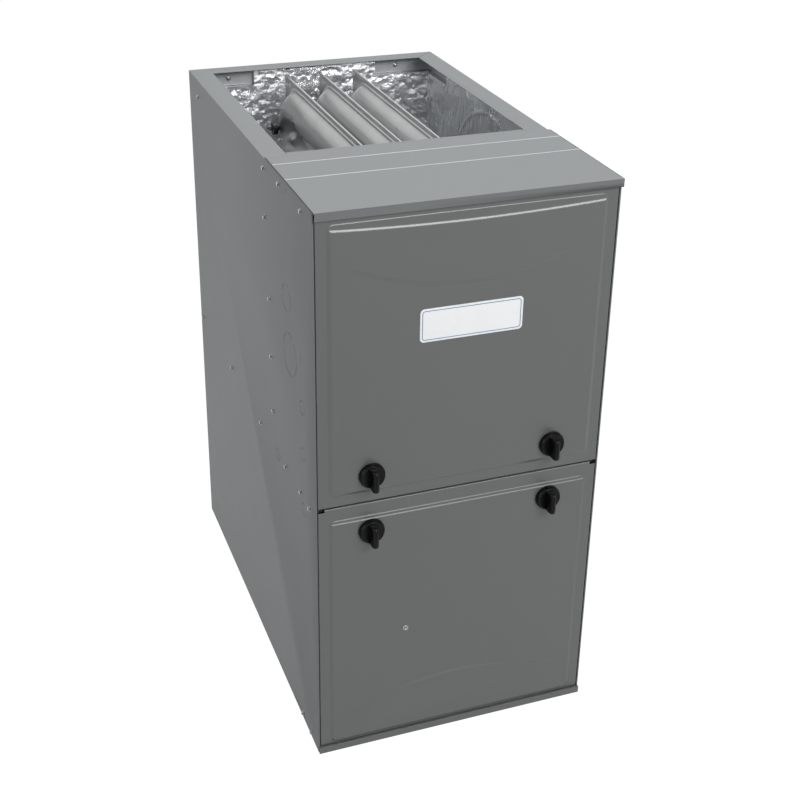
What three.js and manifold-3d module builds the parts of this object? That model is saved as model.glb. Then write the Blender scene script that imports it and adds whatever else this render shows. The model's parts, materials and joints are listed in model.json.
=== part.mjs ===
// Forced air gas furnace: an upflow condensing unit in a painted steel cabinet.
// Millimetres, +Z up. The front faces -Y. The origin is the bottom centre of the whole object's box.
// Every piece is drawn in the cabinet frame: x across, y from the front plane back, z up from the floor.

import * as THREE from 'three';
import { mergeVertices } from 'three/addons/utils/BufferGeometryUtils.js';
import Module from 'manifold-3d';

const wasm = await Module();
wasm.setup();

// ---------------------------------------------------------------- driving dimensions

const sheet = 1.0; // folded steel sheet
const fit = 0.3; // gap between pieces that touch
const past = 1; // how far a cutting or joining shape runs past the face it meets
const weld = 0.005; // corners closer than this become one
const hexagon = 6;

const casing = {
  width: 444.5,
  depth: 730,
  height: 889,
  hem: 2.2, // the sides are folded double at the front edge
  hemDepth: 14,
  sideFlange: 35.2, // duct flanges round the supply opening
  backFlange: 33,
  ledge: 16, // narrow flange under the top plate
};
const opening = { front: 248 }; // where the supply opening starts, from the front plane
const topPlate = { back: 229, rise: 2.6, overhang: 6, lip: 12 };
const rail = { height: 11.5, overhang: 4, ledge: 20 };
const pan = { border: 40, frontBorder: 110, backBorder: 38, upstand: 18 };
const deck = { top: 437, front: 22.5, sideFlange: 15 };
const midRail = { bottom: 420, top: 472, shelf: 15 };
const cellPanel = { front: 232, flange: 20 };
const insulation = { thick: 12, bottom: 438, top: 886 };
const bracket = { leg: 110, bottom: 857, gauge: 1.2 };

const door = {
  split: 442, // height of the line between the doors
  splitGap: 2.4,
  sideGap: 1.0,
  edgeGap: 1.0,
  deep: 18, // depth of the folded edge
  margin: 20, // flat border round the raised panel
  raise: 2.2,
  slope: 3.5,
  corner: 10,
  root: 0.2, // the raised panel's own thickness where it leaves the sheet
};
const lowerDoor = { notch: 10, notchDrop: 4 };
const liner = { margin: 34, top: 360, thick: 11 };
const doorScrew = { x: -84, z: 207, headRadius: 4.6, hexRadius: 2.5, head: 3, shank: 2.1, length: 9 };
const badge = { x: 4.5, z: 710, width: 153, height: 50, thick: 1.2, corner: 6 };
const knob = {
  x: 140,
  upperZ: 488,
  lowerZ: 395,
  radius: 19.5,
  disc: 9,
  shoulder: 4.95, // height where the disc's edge starts to slope in
  chamfer: 2.5,
  reach: 26, // grip height over the door
  grip: 9, // grip width
  nose: 16, // grip end above the axis
  noseTall: 11, // blunt end of the grip over the disc
  crestTop: 10.5, // ends of the crest, above and below the axis
  crestBottom: -9,
  crestSlope: 1,
  droop: 2, // how far the tail falls below the crest
  tail: 17, // grip end below the axis
  tailGap: 3,
  root: 2, // depth of the grip in the disc
  wedge: 5, // height of the flared base of the grip over the disc
  stem: 6,
  stemPlay: 0.5,
  tongue: 31,
  tongueWidth: 8,
  tongueThick: 3,
  tonguePlay: 0.8, // running gap behind the middle rail
};

const cell = {
  pitch: 61.5,
  count: 3,
  gauge: 1.2,
  seam: 1.6, // sheet-to-sheet thickness of the web between the passes
  bead: 3.2, // crimped seam along the top
  flange: 3, // border of the mouth round the upper pass
  top: 879,
  bottom: 640,
  back: casing.depth - 40,
  halfWidth: 24,
  halfHeight: 30,
  passes: 3,
  passZ: 836,
  passStep: 78,
  backBend: casing.depth - 118,
  frontBend: 310,
  sides: 10, // facets round a pass
  bendSteps: 5,
};
const coil = {
  halfWidth: 130,
  bottom: 488,
  top: 592,
  tube: 7,
  columns: 5,
  rows: 2,
  plates: 3,
  gauge: 1.5,
};
const coupling = { halfWidth: 132, bottom: 476, top: 714 };
const port = { radius: 21, waterHalf: 118, waterBottom: 496, waterTop: 584 };

const vent = { y: 118, z: 634, radius: 30.15, wall: 4, sleeve: 3, sleeveLap: 18, sleeveShort: 2 };
const gasEntry = { y: 130, z: 717, radius: 21 };
const ventPlay = 2.85; // room round the vent pipe in its knockout
const wireEntry = 11; // radius of the small knockouts
const knockouts = [
  { y: gasEntry.y, z: gasEntry.z, r: gasEntry.radius },
  { y: vent.y, z: vent.z, r: vent.radius + ventPlay },
  { y: 60, z: 578, r: wireEntry },
  { y: 60, z: 502, r: wireEntry },
  { y: 198, z: deck.top - 13, r: wireEntry },
  { y: 58, z: deck.top - 27, r: wireEntry },
];
const knockoutDepth = 0.4;
const inducer = {
  x: -10,
  deep: 44,
  wall: 2.5,
  outerRadius: 88,
  cutRadius: 62,
  cutTurn: 290, // degrees of scroll from the outlet wall round to the cut-off
  steps: 20,
  outletX: -118,
  collar: 29,
  collarLength: 14,
  eye: 28,
  shaft: 4,
  shaftPlay: 0.4,
};
const inducerRotor = { radius: 52, deep: 30, blades: 8, vane: 2, plate: 2, hub: 13, gap: 4, shaftIn: 12 };
const inducerDrive = {
  radius: 40,
  front: 40,
  cap: 14,
  shell: 6,
  wall: 8,
  backWall: 12,
  rim: 8,
  skirt: 18,
  plate: 3,
  slots: 4,
  slot: 6,
  slotInner: 14,
  slotOuter: 24,
};
const collector = { half: 126, bottom: 482, top: 626, wall: 2.5, boss: 40, bossLength: 20 };
const trap = {
  left: 22.25 - casing.width / 2,
  right: 72.25 - casing.width / 2,
  front: 60,
  back: 130,
  top: 560,
  wall: 2.5,
  neck: 9,
  bore: 6.5,
  neckTall: 14,
};
// The drain tube leaves the collector box 'behind' the trap and climbs over to it.
const drain = {
  radius: 6,
  steps: 18,
  run: 10,
  behind: 55,
  drift: 2,
  low: 18,
  climb: 12,
  crest: 36,
  rise: 40,
};
const pressureSwitch = {
  x: 40,
  z: 700,
  radius: 30,
  deep: 24,
  faceRadius: 21,
  shoulderRadius: 22.8,
  shoulderDeep: 5,
  rimDeep: 8,
  bracket: 2,
  tab: 14,
  barb: 3.5,
  barbLength: 10,
};
const hose = { radius: 4.5, steps: 12, offset: 20, forward: 16, straight: 8 };

const burner = {
  length: 124,
  inlet: 12,
  throat: 8,
  flare: 17,
  flange: 25,
  wall: 1.0,
  rim: 2,
  throatStart: 0.2, // as shares of the length
  throatEnd: 0.4,
  flareStart: 0.86,
};
const burnerBox = { half: 112, bottom: 790, top: 882, front: 150, probeHole: 5 };
const manifold = { y: 78, radius: 10, nipple: 6, bore: 2, boreStart: 2, tab: 20 };
const valve = {
  x: 150,
  halfWidth: 42,
  front: 45,
  back: 115,
  bottom: 665,
  top: 735,
  boss: 15,
  bossTop: 746,
  inlet: 17,
  inletSides: 8,
  inletDrop: 12,
  throat: 8,
  throatDeep: 10,
  tower: 17,
  towerTall: 6,
  towerInset: 20,
};
const valveKnob = { radius: 14, deep: 12, stem: 4, stemLength: 7, grip: 6, z: 705 };
const igniter = { x: -38, y: 206, base: 7, drop: 24, stalk: 4, stalkTop: 14, element: 3, thick: 2, top: 34 };
const sensor = { x: 84, y: 200, base: 6, drop: 14, stalk: 3.5, stalkTop: 10, wire: 1.5, top: 42 };
const rollout = {
  x: 0,
  y: 185,
  radius: 11,
  deep: 11.7,
  ear: 8,
  strap: 5,
  strapThick: 1.5,
  ceiling: 3.5,
  button: 2.5,
  buttonPlay: 0.3,
  buttonIn: 5,
  out: 4,
};
const limit = {
  radius: 11,
  deep: 8,
  lug: 4.4,
  lugLength: 4,
  tip: 8,
  tipInner: 3,
  tipOuter: 6,
  tipThick: 1.6,
};

const blower = {
  y: 430,
  z: 236,
  half: 105,
  outerRadius: 178,
  cutRadius: 140,
  cutTurn: 300,
  steps: 24,
  eye: 108,
  eyeRim: 114,
  eyeLip: 6,
};
const wheel = {
  radius: 127,
  half: 98,
  inner: 108,
  ring: 6,
  ringWide: 3,
  inset: 0.8, // the blades stop this far inside the end rings
  blades: 20,
  blade: 0.9,
  rake: 35,
  disc: 1.2,
  hub: 16,
  hubLeft: 14,
  hubRight: 12,
  shaftLeft: 16,
};
const motor = {
  radius: 70,
  near: 20,
  far: 130,
  wall: 12,
  nearCap: 15,
  farCap: 8,
  shaft: 6.35,
  shaftPlay: 0.4,
  shaftEnd: 100,
  slots: 6,
  slotInner: 32,
  slotOuter: 52,
  slot: 10,
};
const mount = {
  band: 2.5,
  bandWide: 8,
  arm: 14,
  armThick: 3,
  reach: 150,
  foot: 10,
  standOff: 0.8,
  turns: [30, 150, 270],
};
const capacitor = {
  x: 15,
  y: 150,
  radius: 22,
  half: 45,
  strap: 2,
  strapHalf: 8,
  ear: 14,
  post: 9,
  postNear: 4,
  postFar: 10,
};

const control = {
  left: 17.25 - casing.width / 2,
  right: 177.25 - casing.width / 2,
  y: 62,
  bottom: 290,
  flange: 18,
};
const board = { thick: 1.7, margin: 6, bottom: 300, top: 418 };
const relay = { count: 3, first: 12, pitch: 32, width: 24, bottom: 52, top: 74, tall: 18 };
const terminals = { left: 6, right: 108, bottom: 4, top: 18, tall: 11 };
const fuse = { left: 116, right: 128, bottom: 24, top: 44, tall: 8 };
const boardCap = { x: 124, z: 66, radius: 6, tall: 16 };
const plug = { half: 14, forward: 6, height: 14 };
const transformer = {
  left: 78,
  right: 142,
  front: 50,
  back: 106,
  bottom: 352,
  top: 424,
  winding: 14,
  core: 16, // the core stands this far inside the winding, front and back
  foot: 10,
  leg: 2,
};
const doorSwitch = {
  x: 63,
  z: 428,
  half: 15,
  bottom: 421,
  back: 50,
  wall: 4,
  plunger: 3.5,
  play: 0.3,
  travel: 4,
  spare: 2, // room left behind the plunger at the end of its travel
};
const grommet = { x: -100, y: 42, radius: 14, play: 0.6, lip: 3 };
const lead = { radius: 4, straight: 12 };
const valveRun = { steps: 30, aside: 60, back: 14, rise: 30 };
const blowerRun = {
  steps: 28,
  inset: 20,
  forward: 8,
  drop: 40,
  across: 70,
  back: 40,
  low: 60,
  clear: 45,
  turn: 220,
  rise: 80,
};

// ---------------------------------------------------------------- sizes that follow

const half = casing.width / 2;
const inside = half - sheet;
const innerBack = casing.depth - sheet;
const doorHalf = half - casing.hem - door.sideGap;
const lipBottom = casing.height + topPlate.rise - topPlate.lip;
const plateEnd = topPlate.back + fit;
const panelBack = cellPanel.front + sheet;
const backFoil = innerBack - fit - insulation.thick;
const sideFoil = inside - fit - insulation.thick;
const deckUnder = deck.top - sheet;
const deckSeat = deckUnder - fit; // top of what hangs under the deck
const knobSeat = -door.raise - fit;
const frontReach = knob.reach - knobSeat;
const inducerZ = vent.z - (inducer.outerRadius + cutHeight(inducer)) / 2;
const inducerFront = vent.y - inducer.deep / 2;
const inducerBack = inducerFront + inducer.deep;
const collectorFront = inducerBack + fit;
const cellFront = panelBack + fit;
const lowPassZ = cell.passZ - (cell.passes - 1) * cell.passStep;
const railFront = door.deep + fit; // the doors' folded edges stand against the middle rail
const couplingFront = cell.back + fit;
const boardFace = control.y - fit - board.thick;

function cutHeight(scroll) {
  const angle = THREE.MathUtils.degToRad(90 - scroll.cutTurn);
  return scroll.cutRadius * Math.sin(angle);
}

// ---------------------------------------------------------------- solids

// A circle gets more facets as it grows: each pair is a radius and the facets of what is larger.
const facetSteps = [[100, 28], [45, 24], [25, 20], [10, 16], [2.2, 12], [0, 8]];

function facetsFor(radius) {
  return facetSteps.find(([least]) => radius > least)[1];
}

function solid(geometry) {
  const bare = geometry.clone();
  bare.deleteAttribute('normal');
  bare.deleteAttribute('uv');
  const merged = mergeVertices(bare, 1e-4);
  const triVerts = Uint32Array.from(merged.index.array);
  const vertProperties = Float32Array.from(merged.attributes.position.array);
  if (signedVolume(vertProperties, triVerts) < 0) triVerts.reverse();
  return new wasm.Manifold(new wasm.Mesh({ numProp: 3, vertProperties, triVerts }));
}

function signedVolume(points, faces) {
  const corner = (n) => new THREE.Vector3().fromArray(points, 3 * n);
  let sum = 0;
  for (let n = 0; n < faces.length; n += 3) {
    const [a, b, c] = [corner(faces[n]), corner(faces[n + 1]), corner(faces[n + 2])];
    sum += a.dot(b.cross(c));
  }
  return sum;
}

function geometryOf(shape) {
  const mesh = shape.asOriginal().simplify(weld).getMesh();
  const geometry = new THREE.BufferGeometry();
  geometry.setAttribute('position', new THREE.BufferAttribute(Float32Array.from(mesh.vertProperties), 3));
  geometry.setIndex(new THREE.BufferAttribute(Uint32Array.from(mesh.triVerts), 1));
  geometry.computeVertexNormals();
  return geometry;
}

function join(...shapes) {
  return shapes.reduce((whole, next) => whole.add(next));
}

function cut(shape, ...tools) {
  return tools.reduce((rest, tool) => rest.subtract(tool), shape);
}

// A box between two corners, given in any order.
function block(xa, xb, ya, yb, za, zb) {
  const geometry = new THREE.BoxGeometry(Math.abs(xb - xa), Math.abs(yb - ya), Math.abs(zb - za));
  geometry.translate((xa + xb) / 2, (ya + yb) / 2, (za + zb) / 2);
  return solid(geometry);
}

// A round bar along one axis; 'across' holds the other two coordinates in x, y, z order.
function rod(axis, radius, from, to, across, sides = facetsFor(radius)) {
  const geometry = new THREE.CylinderGeometry(radius, radius, to - from, sides);
  geometry.translate(0, (from + to) / 2, 0);
  if (axis === 'x') geometry.rotateZ(-Math.PI / 2).translate(0, across[0], across[1]);
  if (axis === 'y') geometry.translate(across[0], 0, across[1]);
  if (axis === 'z') geometry.rotateX(Math.PI / 2).translate(across[0], across[1], 0);
  return solid(geometry);
}

function ring(axis, outer, inner, from, to, across, sides = facetsFor(outer)) {
  const bore = rod(axis, inner, from - past, to + past, across, sides);
  return rod(axis, outer, from, to, across, sides).subtract(bore);
}

// The same stretch of x on the left or right of the middle, lowest end first.
function stretch(side, near, far) {
  return side < 0 ? [-far, -near] : [near, far];
}

const alongX = new THREE.Matrix4().set(0, 0, 1, 0, 1, 0, 0, 0, 0, 1, 0, 0, 0, 0, 0, 1);

// An outline drawn in y and z, extruded along x.
function slabX(outline, from, to) {
  const geometry = new THREE.ExtrudeGeometry(outline, { depth: to - from, bevelEnabled: false });
  return solid(geometry.applyMatrix4(alongX).translate(from, 0, 0));
}

// An outline drawn in x and z, extruded along y.
function slabY(outline, from, to) {
  const geometry = new THREE.ExtrudeGeometry(outline, { depth: to - from, bevelEnabled: false });
  return solid(geometry.rotateX(Math.PI / 2).translate(0, to, 0));
}

function outlineOf(points) {
  return new THREE.Shape(points.map(([u, v]) => new THREE.Vector2(u, v)));
}

function roundedRect(uMin, uMax, vMin, vMax, radius, curveSteps = 3) {
  const points = [];
  const corners = [
    [uMax - radius, vMin + radius, -90],
    [uMax - radius, vMax - radius, 0],
    [uMin + radius, vMax - radius, 90],
    [uMin + radius, vMin + radius, 180],
  ];
  for (const [u, v, start] of corners) {
    for (let n = 0; n <= curveSteps; n++) {
      const angle = THREE.MathUtils.degToRad(start + (90 * n) / curveSteps);
      points.push([u + radius * Math.cos(angle), v + radius * Math.sin(angle)]);
    }
  }
  return outlineOf(points);
}

function ovalOutline(halfU, halfV, sides) {
  const points = [];
  for (let n = 0; n < sides; n++) {
    const angle = (2 * Math.PI * n) / sides;
    points.push([halfU * Math.cos(angle), halfV * Math.sin(angle)]);
  }
  return outlineOf(points);
}

// A smooth tube through a list of points.
function tube(points, radius, steps) {
  const path = new THREE.CatmullRomCurve3(points.map((p) => new THREE.Vector3(...p)));
  const section = ovalOutline(radius, radius, hexagon);
  return solid(new THREE.ExtrudeGeometry(section, { steps, extrudePath: path, bevelEnabled: false }));
}

// A round piece turned about the y axis, from points of radius and y.
function turned(profile, sides) {
  return solid(new THREE.LatheGeometry(profile.map(([r, y]) => new THREE.Vector2(r, y)), sides));
}

const pieces = new THREE.Group();

function place(name, shape, look, position = [0, 0, 0]) {
  const material = new THREE.MeshStandardMaterial({ ...look, flatShading: true });
  const mesh = new THREE.Mesh(geometryOf(shape), material);
  mesh.name = name;
  mesh.position.set(...position);
  pieces.add(mesh);
}

const looks = {
  paint: { color: 0x86898a, roughness: 0.5, metalness: 0.3 },
  doorPaint: { color: 0x737675, roughness: 0.5, metalness: 0.3 },
  galvanised: { color: 0xa9acae, roughness: 0.42, metalness: 0.85 },
  aluminised: { color: 0x9d9f9f, roughness: 0.38, metalness: 0.85 },
  foil: { color: 0xc4c6c8, roughness: 0.25, metalness: 1.0 },
  stainless: { color: 0xb4b6b7, roughness: 0.3, metalness: 0.9 },
  blackPlastic: { color: 0x0c0c0d, roughness: 0.35, metalness: 0.0 },
  greyPlastic: { color: 0x8d8f90, roughness: 0.5, metalness: 0.0 },
  whitePlate: { color: 0xf2f3f4, roughness: 0.3, metalness: 0.0 },
  zinc: { color: 0xc3c5c6, roughness: 0.3, metalness: 0.95 },
  motorBlack: { color: 0x17181a, roughness: 0.45, metalness: 0.4 },
  castZinc: { color: 0x8f9294, roughness: 0.5, metalness: 0.7 },
  blackPipe: { color: 0x2a2a2c, roughness: 0.55, metalness: 0.5 },
  redPlastic: { color: 0xa8201a, roughness: 0.45, metalness: 0.0 },
  boardGreen: { color: 0x1f5a38, roughness: 0.5, metalness: 0.1 },
  ceramic: { color: 0xe4e0d4, roughness: 0.8, metalness: 0.0 },
  rubber: { color: 0x1c1c1e, roughness: 0.8, metalness: 0.0 },
  whitePipe: { color: 0xe6e6e2, roughness: 0.4, metalness: 0.0 },
  fibre: { color: 0x3a3a3c, roughness: 0.95, metalness: 0.0 },
};

// ---------------------------------------------------------------- cabinet

// Everything under the top plate is set down a little, so the duct flanges alone reach the full height.
function casingSide(side) {
  const outer = side * half;
  const { height, depth, hem, hemDepth, ledge, sideFlange } = casing;
  const flangeUnder = height - sheet;
  const wall = join(
    block(outer, side * inside, 0, depth, 0, height),
    block(outer, side * (half - hem), 0, hemDepth, 0, height),
    block(outer, side * (half - ledge), hemDepth, plateEnd, flangeUnder - fit, height),
    block(outer, side * (half - sideFlange), plateEnd - past, depth, flangeUnder, height),
  );
  const setDown = block(0, side * (half + past), -past, plateEnd, height - fit, height + past);
  const recesses = knockouts.map((hole) => rod(
    'x', hole.r, ...stretch(side, half - knockoutDepth, half + past), [hole.y, hole.z],
  ));
  return cut(wall, setDown, ...recesses);
}

function casingWrapper() {
  const flangeFront = casing.depth - casing.backFlange;
  const back = block(-half, half, innerBack, casing.depth, 0, casing.height);
  const flange = block(-half, half, flangeFront, casing.depth, casing.height - sheet, casing.height);
  return join(casingSide(-1), casingSide(1), back, flange);
}

function topCover() {
  const top = casing.height + topPlate.rise;
  const under = casing.height + fit;
  const front = -topPlate.overhang;
  const cover = block(-half, half, front, topPlate.back, top - sheet, top);
  const lip = block(-half, half, front, front + sheet, lipBottom, top);
  const backEdge = block(-half, half, topPlate.back - sheet, topPlate.back, under, top);
  const sides = [-1, 1].map((side) => join(
    block(side * half, side * inside, front, topPlate.back, under, top),
    block(side * half, side * inside, front, -fit, lipBottom, top),
  ));
  return join(cover, lip, backEdge, ...sides);
}

function baseRail() {
  const inner = half - casing.hem - fit;
  const face = block(-half, half, -rail.overhang, -rail.overhang + sheet, 0, rail.height);
  const outerLedge = block(-half, half, -rail.overhang, -fit, rail.height - sheet, rail.height);
  const ledge = block(-inner, inner, -rail.overhang, rail.ledge, rail.height - sheet, rail.height);
  const foot = block(-inner, inner, rail.ledge - sheet, rail.ledge, 0, rail.height);
  return join(face, outerLedge, ledge, foot);
}

function basePan() {
  const side = inside - fit;
  const front = rail.ledge + fit;
  const back = innerBack - fit;
  const holeSide = half - pan.border;
  const holeBack = casing.depth - pan.backBorder;
  const plate = block(-side, side, front, back, 0, sheet);
  const hole = block(-holeSide, holeSide, pan.frontBorder, holeBack, -past, sheet + past);
  const rim = block(-side, side, front, back, 0, pan.upstand);
  const bore = block(-side + sheet, side - sheet, front + sheet, back - sheet, -past, pan.upstand + past);
  return join(cut(plate, hole), cut(rim, bore));
}

function blowerDeck() {
  const side = inside - fit;
  const back = innerBack - fit;
  const plate = block(-side, side, deck.front, back, deckUnder, deck.top);
  const flanges = [-1, 1].map((s) => block(
    s * side, s * (side - sheet), deck.front, back, deckUnder - deck.sideFlange, deck.top,
  ));
  const outletFront = blower.y + scrollPoint(blower, blower.cutTurn)[0];
  const outletBack = blower.y + blower.outerRadius;
  const [under, over] = [deckUnder - past, deck.top + past];
  const hole = block(-blower.half, blower.half, outletFront, outletBack, under, over);
  const pass = rod('z', grommet.radius, under, over, [grommet.x, grommet.y]);
  return cut(join(plate, ...flanges), hole, pass);
}

function wiringGrommet() {
  const { x, y, radius, play, lip } = grommet;
  const sides = facetsFor(radius);
  const outer = radius + lip;
  const body = join(
    rod('z', radius - fit, deckUnder - lip, deck.top + lip, [x, y], sides),
    rod('z', outer, deck.top + fit, deck.top + lip, [x, y], sides),
    rod('z', outer, deckUnder - lip, deckUnder - fit, [x, y], sides),
  );
  return cut(body, rod('z', lead.radius + play, deckUnder - 2 * lip, deck.top + 2 * lip, [x, y]));
}

function middleRail() {
  const side = half - casing.hem - fit;
  const inner = inside - fit;
  const back = railFront + sheet;
  const shelfTop = deck.top + fit + sheet;
  const face = block(-side, side, railFront, back, midRail.bottom, midRail.top);
  const shelf = block(-inner, inner, railFront, back + midRail.shelf, deck.top + fit, shelfTop);
  const plungerHole = rod(
    'y', doorSwitch.plunger + 2 * doorSwitch.play, 0, back + past, [doorSwitch.x, doorSwitch.z],
  );
  const passRadius = grommet.radius + grommet.lip + past;
  const pass = rod('z', passRadius, deck.top, shelfTop + past, [grommet.x, grommet.y]);
  return cut(join(face, shelf), plungerHole, pass);
}

function vestibulePanel() {
  const { front, flange: reach } = cellPanel;
  const side = inside - fit;
  const flangeSide = half - casing.sideFlange - fit;
  const top = casing.height;
  const under = top - sheet;
  const plateTop = under - 2 * fit;
  const plate = block(-side, side, front, panelBack, deck.top + fit, plateTop);
  const wallTop = block(-flangeSide, flangeSide, front, panelBack, plateTop - past, top);
  const flange = block(-flangeSide, flangeSide, plateEnd, opening.front, under, top);
  const lap = block(-flangeSide, flangeSide, front - reach, panelBack, under - fit, top - fit);
  const [before, behind] = [front - past, panelBack + past];
  const ports = cellPlaces().map((x) => rod('y', port.radius, before, behind, [x, cell.passZ]));
  const water = block(-port.waterHalf, port.waterHalf, before, behind, port.waterBottom, port.waterTop);
  return cut(join(plate, wallTop, flange, lap), ...ports, water);
}

function sideInsulation(side) {
  const front = panelBack + fit;
  const slab = block(
    side * sideFoil, side * (inside - fit), front, backFoil - fit, insulation.bottom, insulation.top,
  );
  const notch = block(
    side * (sideFoil - past), side * inside,
    innerBack - bracket.leg, innerBack, bracket.bottom - fit, insulation.top + past,
  );
  return cut(slab, notch);
}

function backInsulation() {
  const side = inside - fit;
  const slab = block(-side, side, backFoil, innerBack - fit, insulation.bottom, insulation.top);
  const notch = (s) => block(
    s * (inside - bracket.leg), s * half,
    backFoil - past, innerBack, bracket.bottom - fit, insulation.top + past,
  );
  return cut(slab, notch(-1), notch(1));
}

function ductBracket(side) {
  const outer = inside - fit;
  const back = innerBack - fit;
  const top = casing.height - sheet - fit;
  const backLeg = block(
    side * outer, side * (inside - bracket.leg + fit), back, back - bracket.gauge, bracket.bottom, top,
  );
  const sideLeg = block(
    side * outer, side * (outer - bracket.gauge), back, innerBack - bracket.leg + fit, bracket.bottom, top,
  );
  return join(backLeg, sideLeg);
}

function buildCabinet() {
  place('casing_wrapper', casingWrapper(), looks.paint);
  place('top_plate', topCover(), looks.paint);
  place('base_rail', baseRail(), looks.doorPaint);
  place('base_pan', basePan(), looks.galvanised);
  place('blower_deck', blowerDeck(), looks.galvanised);
  place('middle_rail', middleRail(), looks.galvanised);
  place('vestibule_panel', vestibulePanel(), looks.galvanised);
  place('insulation_left', sideInsulation(-1), looks.foil);
  place('insulation_right', sideInsulation(1), looks.foil);
  place('insulation_back', backInsulation(), looks.foil);
  place('duct_bracket_left', ductBracket(-1), looks.paint);
  place('duct_bracket_right', ductBracket(1), looks.paint);
}

// ---------------------------------------------------------------- doors and knobs

// The pressed-out middle of a door: a rounded panel with sloping edges, cut flat at its widest.
function raisedPanel(zBottom, zTop, shift) {
  const inset = door.margin + door.slope;
  const side = doorHalf - inset;
  const outline = roundedRect(-side, side, zBottom + inset, zTop - inset, door.corner);
  const geometry = new THREE.ExtrudeGeometry(outline, {
    depth: door.root,
    bevelEnabled: true,
    bevelThickness: door.raise,
    bevelSize: door.slope,
    bevelSegments: 2,
  });
  geometry.rotateX(Math.PI / 2).translate(0, door.root, 0);
  const front = block(-half, half, -door.raise, door.root / 2, zBottom, zTop);
  return solid(geometry).intersect(front).translate([0, shift, 0]);
}

function doorPan(zBottom, zTop) {
  const innerSide = doorHalf - sheet;
  const face = block(-doorHalf, doorHalf, 0, sheet, zBottom, zTop);
  const rim = block(-doorHalf, doorHalf, 0, door.deep, zBottom, zTop);
  const bore = block(-innerSide, innerSide, -past, door.deep + past, zBottom + sheet, zTop - sheet);
  const pocket = raisedPanel(zBottom, zTop, sheet);
  return cut(join(face, cut(rim, bore), raisedPanel(zBottom, zTop, 0)), pocket);
}

// A hole straight through a door, liner included.
function doorHole(radius, x, z) {
  return rod('y', radius, -door.deep, door.deep, [x, z]);
}

function knobHoles(z) {
  return [-1, 1].map((side) => doorHole(knob.stem + knob.stemPlay, side * knob.x, z));
}

function upperDoor() {
  const pressed = doorPan(door.split + door.splitGap / 2, lipBottom - door.edgeGap);
  return cut(pressed, ...knobHoles(knob.upperZ));
}

// The lower door's upper corners are clipped, and a small folded step closes each one.
function lowerDoorPan() {
  const top = door.split - door.splitGap / 2;
  const stepTop = top - lowerDoor.notchDrop;
  const stepSide = doorHalf - lowerDoor.notch;
  const middle = door.deep / 2;
  const pressed = doorPan(rail.height + fit, top);
  const notches = [-1, 1].map((side) => block(
    side * stepSide, side * half, -door.deep, middle, stepTop, top + past,
  ));
  const backs = [-1, 1].map((side) => block(
    side * (stepSide - sheet), side * doorHalf, middle - sheet, middle, stepTop - sheet, top,
  ));
  const steps = [-1, 1].map((side) => block(
    side * (stepSide - sheet), side * doorHalf, 0, middle, stepTop - sheet, stepTop,
  ));
  const screwHole = doorHole(doorScrew.shank + fit, doorScrew.x, doorScrew.z);
  return cut(join(cut(pressed, ...notches), ...backs, ...steps), ...knobHoles(knob.lowerZ), screwHole);
}

function doorLiner() {
  const side = doorHalf - liner.margin;
  const front = sheet - door.raise + fit;
  const slab = block(-side, side, front, front + liner.thick, rail.height + liner.margin, liner.top);
  return cut(slab, doorHole(doorScrew.shank + fit, doorScrew.x, doorScrew.z));
}

function lowerDoorScrew() {
  const { headRadius, hexRadius, head, shank, length } = doorScrew;
  const washer = rod('y', headRadius, knobSeat - head, knobSeat, [0, 0]);
  const hex = rod('y', hexRadius, knobSeat - head - past, knobSeat, [0, 0], hexagon);
  const thread = rod('y', shank, knobSeat - past, length, [0, 0]);
  return join(washer, hex, thread);
}

// A quarter-turn knob: disc, upright grip, stem through the door and a tongue at its inner end.
function quarterTurnKnob(tongueSide) {
  const { radius, disc: deep, grip: width, nose, tail, stem: stemRadius } = knob;
  const tongueFront = railFront + sheet + knob.tonguePlay - knobSeat;
  const tongueBack = tongueFront + knob.tongueThick;
  const disc = turned([
    [0, 0], [radius, 0], [radius, -knob.shoulder], [radius - knob.chamfer, -deep], [0, -deep],
  ], facetsFor(radius));
  const grip = slabX(outlineOf([
    [-deep + knob.root, nose],
    [-deep - knob.noseTall, nose],
    [-knob.reach + knob.crestSlope, knob.crestTop],
    [-knob.reach, knob.crestBottom],
    [-knob.reach + knob.droop, -tail],
    [-deep + knob.root, -tail],
  ]), -width / 2, width / 2);
  const wedge = slabY(outlineOf([
    [-width, nose - past],
    [width, nose - past],
    [width / 2, -tail + knob.tailGap],
    [-width / 2, -tail + knob.tailGap],
  ]), -deep - knob.wedge, -deep + knob.root);
  const stem = rod('y', stemRadius, -past, tongueBack, [0, 0]);
  const tongue = block(
    -tongueSide * stemRadius, tongueSide * knob.tongue, tongueFront, tongueBack,
    -knob.tongueWidth / 2, knob.tongueWidth / 2,
  );
  return join(disc, grip, wedge, stem, tongue);
}

function badgePlate() {
  const [side, rise] = [badge.width / 2, badge.height / 2];
  return slabY(roundedRect(-side, side, -rise, rise, badge.corner), -badge.thick, 0);
}

function buildDoors() {
  place('upper_door', upperDoor(), looks.doorPaint);
  place('lower_door', lowerDoorPan(), looks.doorPaint);
  place('lower_door_liner', doorLiner(), looks.fibre);
  place('lower_door_screw', lowerDoorScrew(), looks.zinc, [doorScrew.x, 0, doorScrew.z]);
  place('badge_plate', badgePlate(), looks.whitePlate, [badge.x, knobSeat, badge.z]);
  for (const [word, side] of [['left', -1], ['right', 1]]) {
    const x = side * knob.x;
    place(`upper_knob_${word}`, quarterTurnKnob(1), looks.blackPlastic, [x, knobSeat, knob.upperZ]);
    place(`lower_knob_${word}`, quarterTurnKnob(-1), looks.blackPlastic, [x, knobSeat, knob.lowerZ]);
  }
}

// ---------------------------------------------------------------- heat exchangers

const cellWords = ['left', 'middle', 'right'];

function cellPlaces() {
  const first = (-(cell.count - 1) * cell.pitch) / 2;
  return Array.from({ length: cell.count }, (_, n) => first + n * cell.pitch);
}

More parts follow.
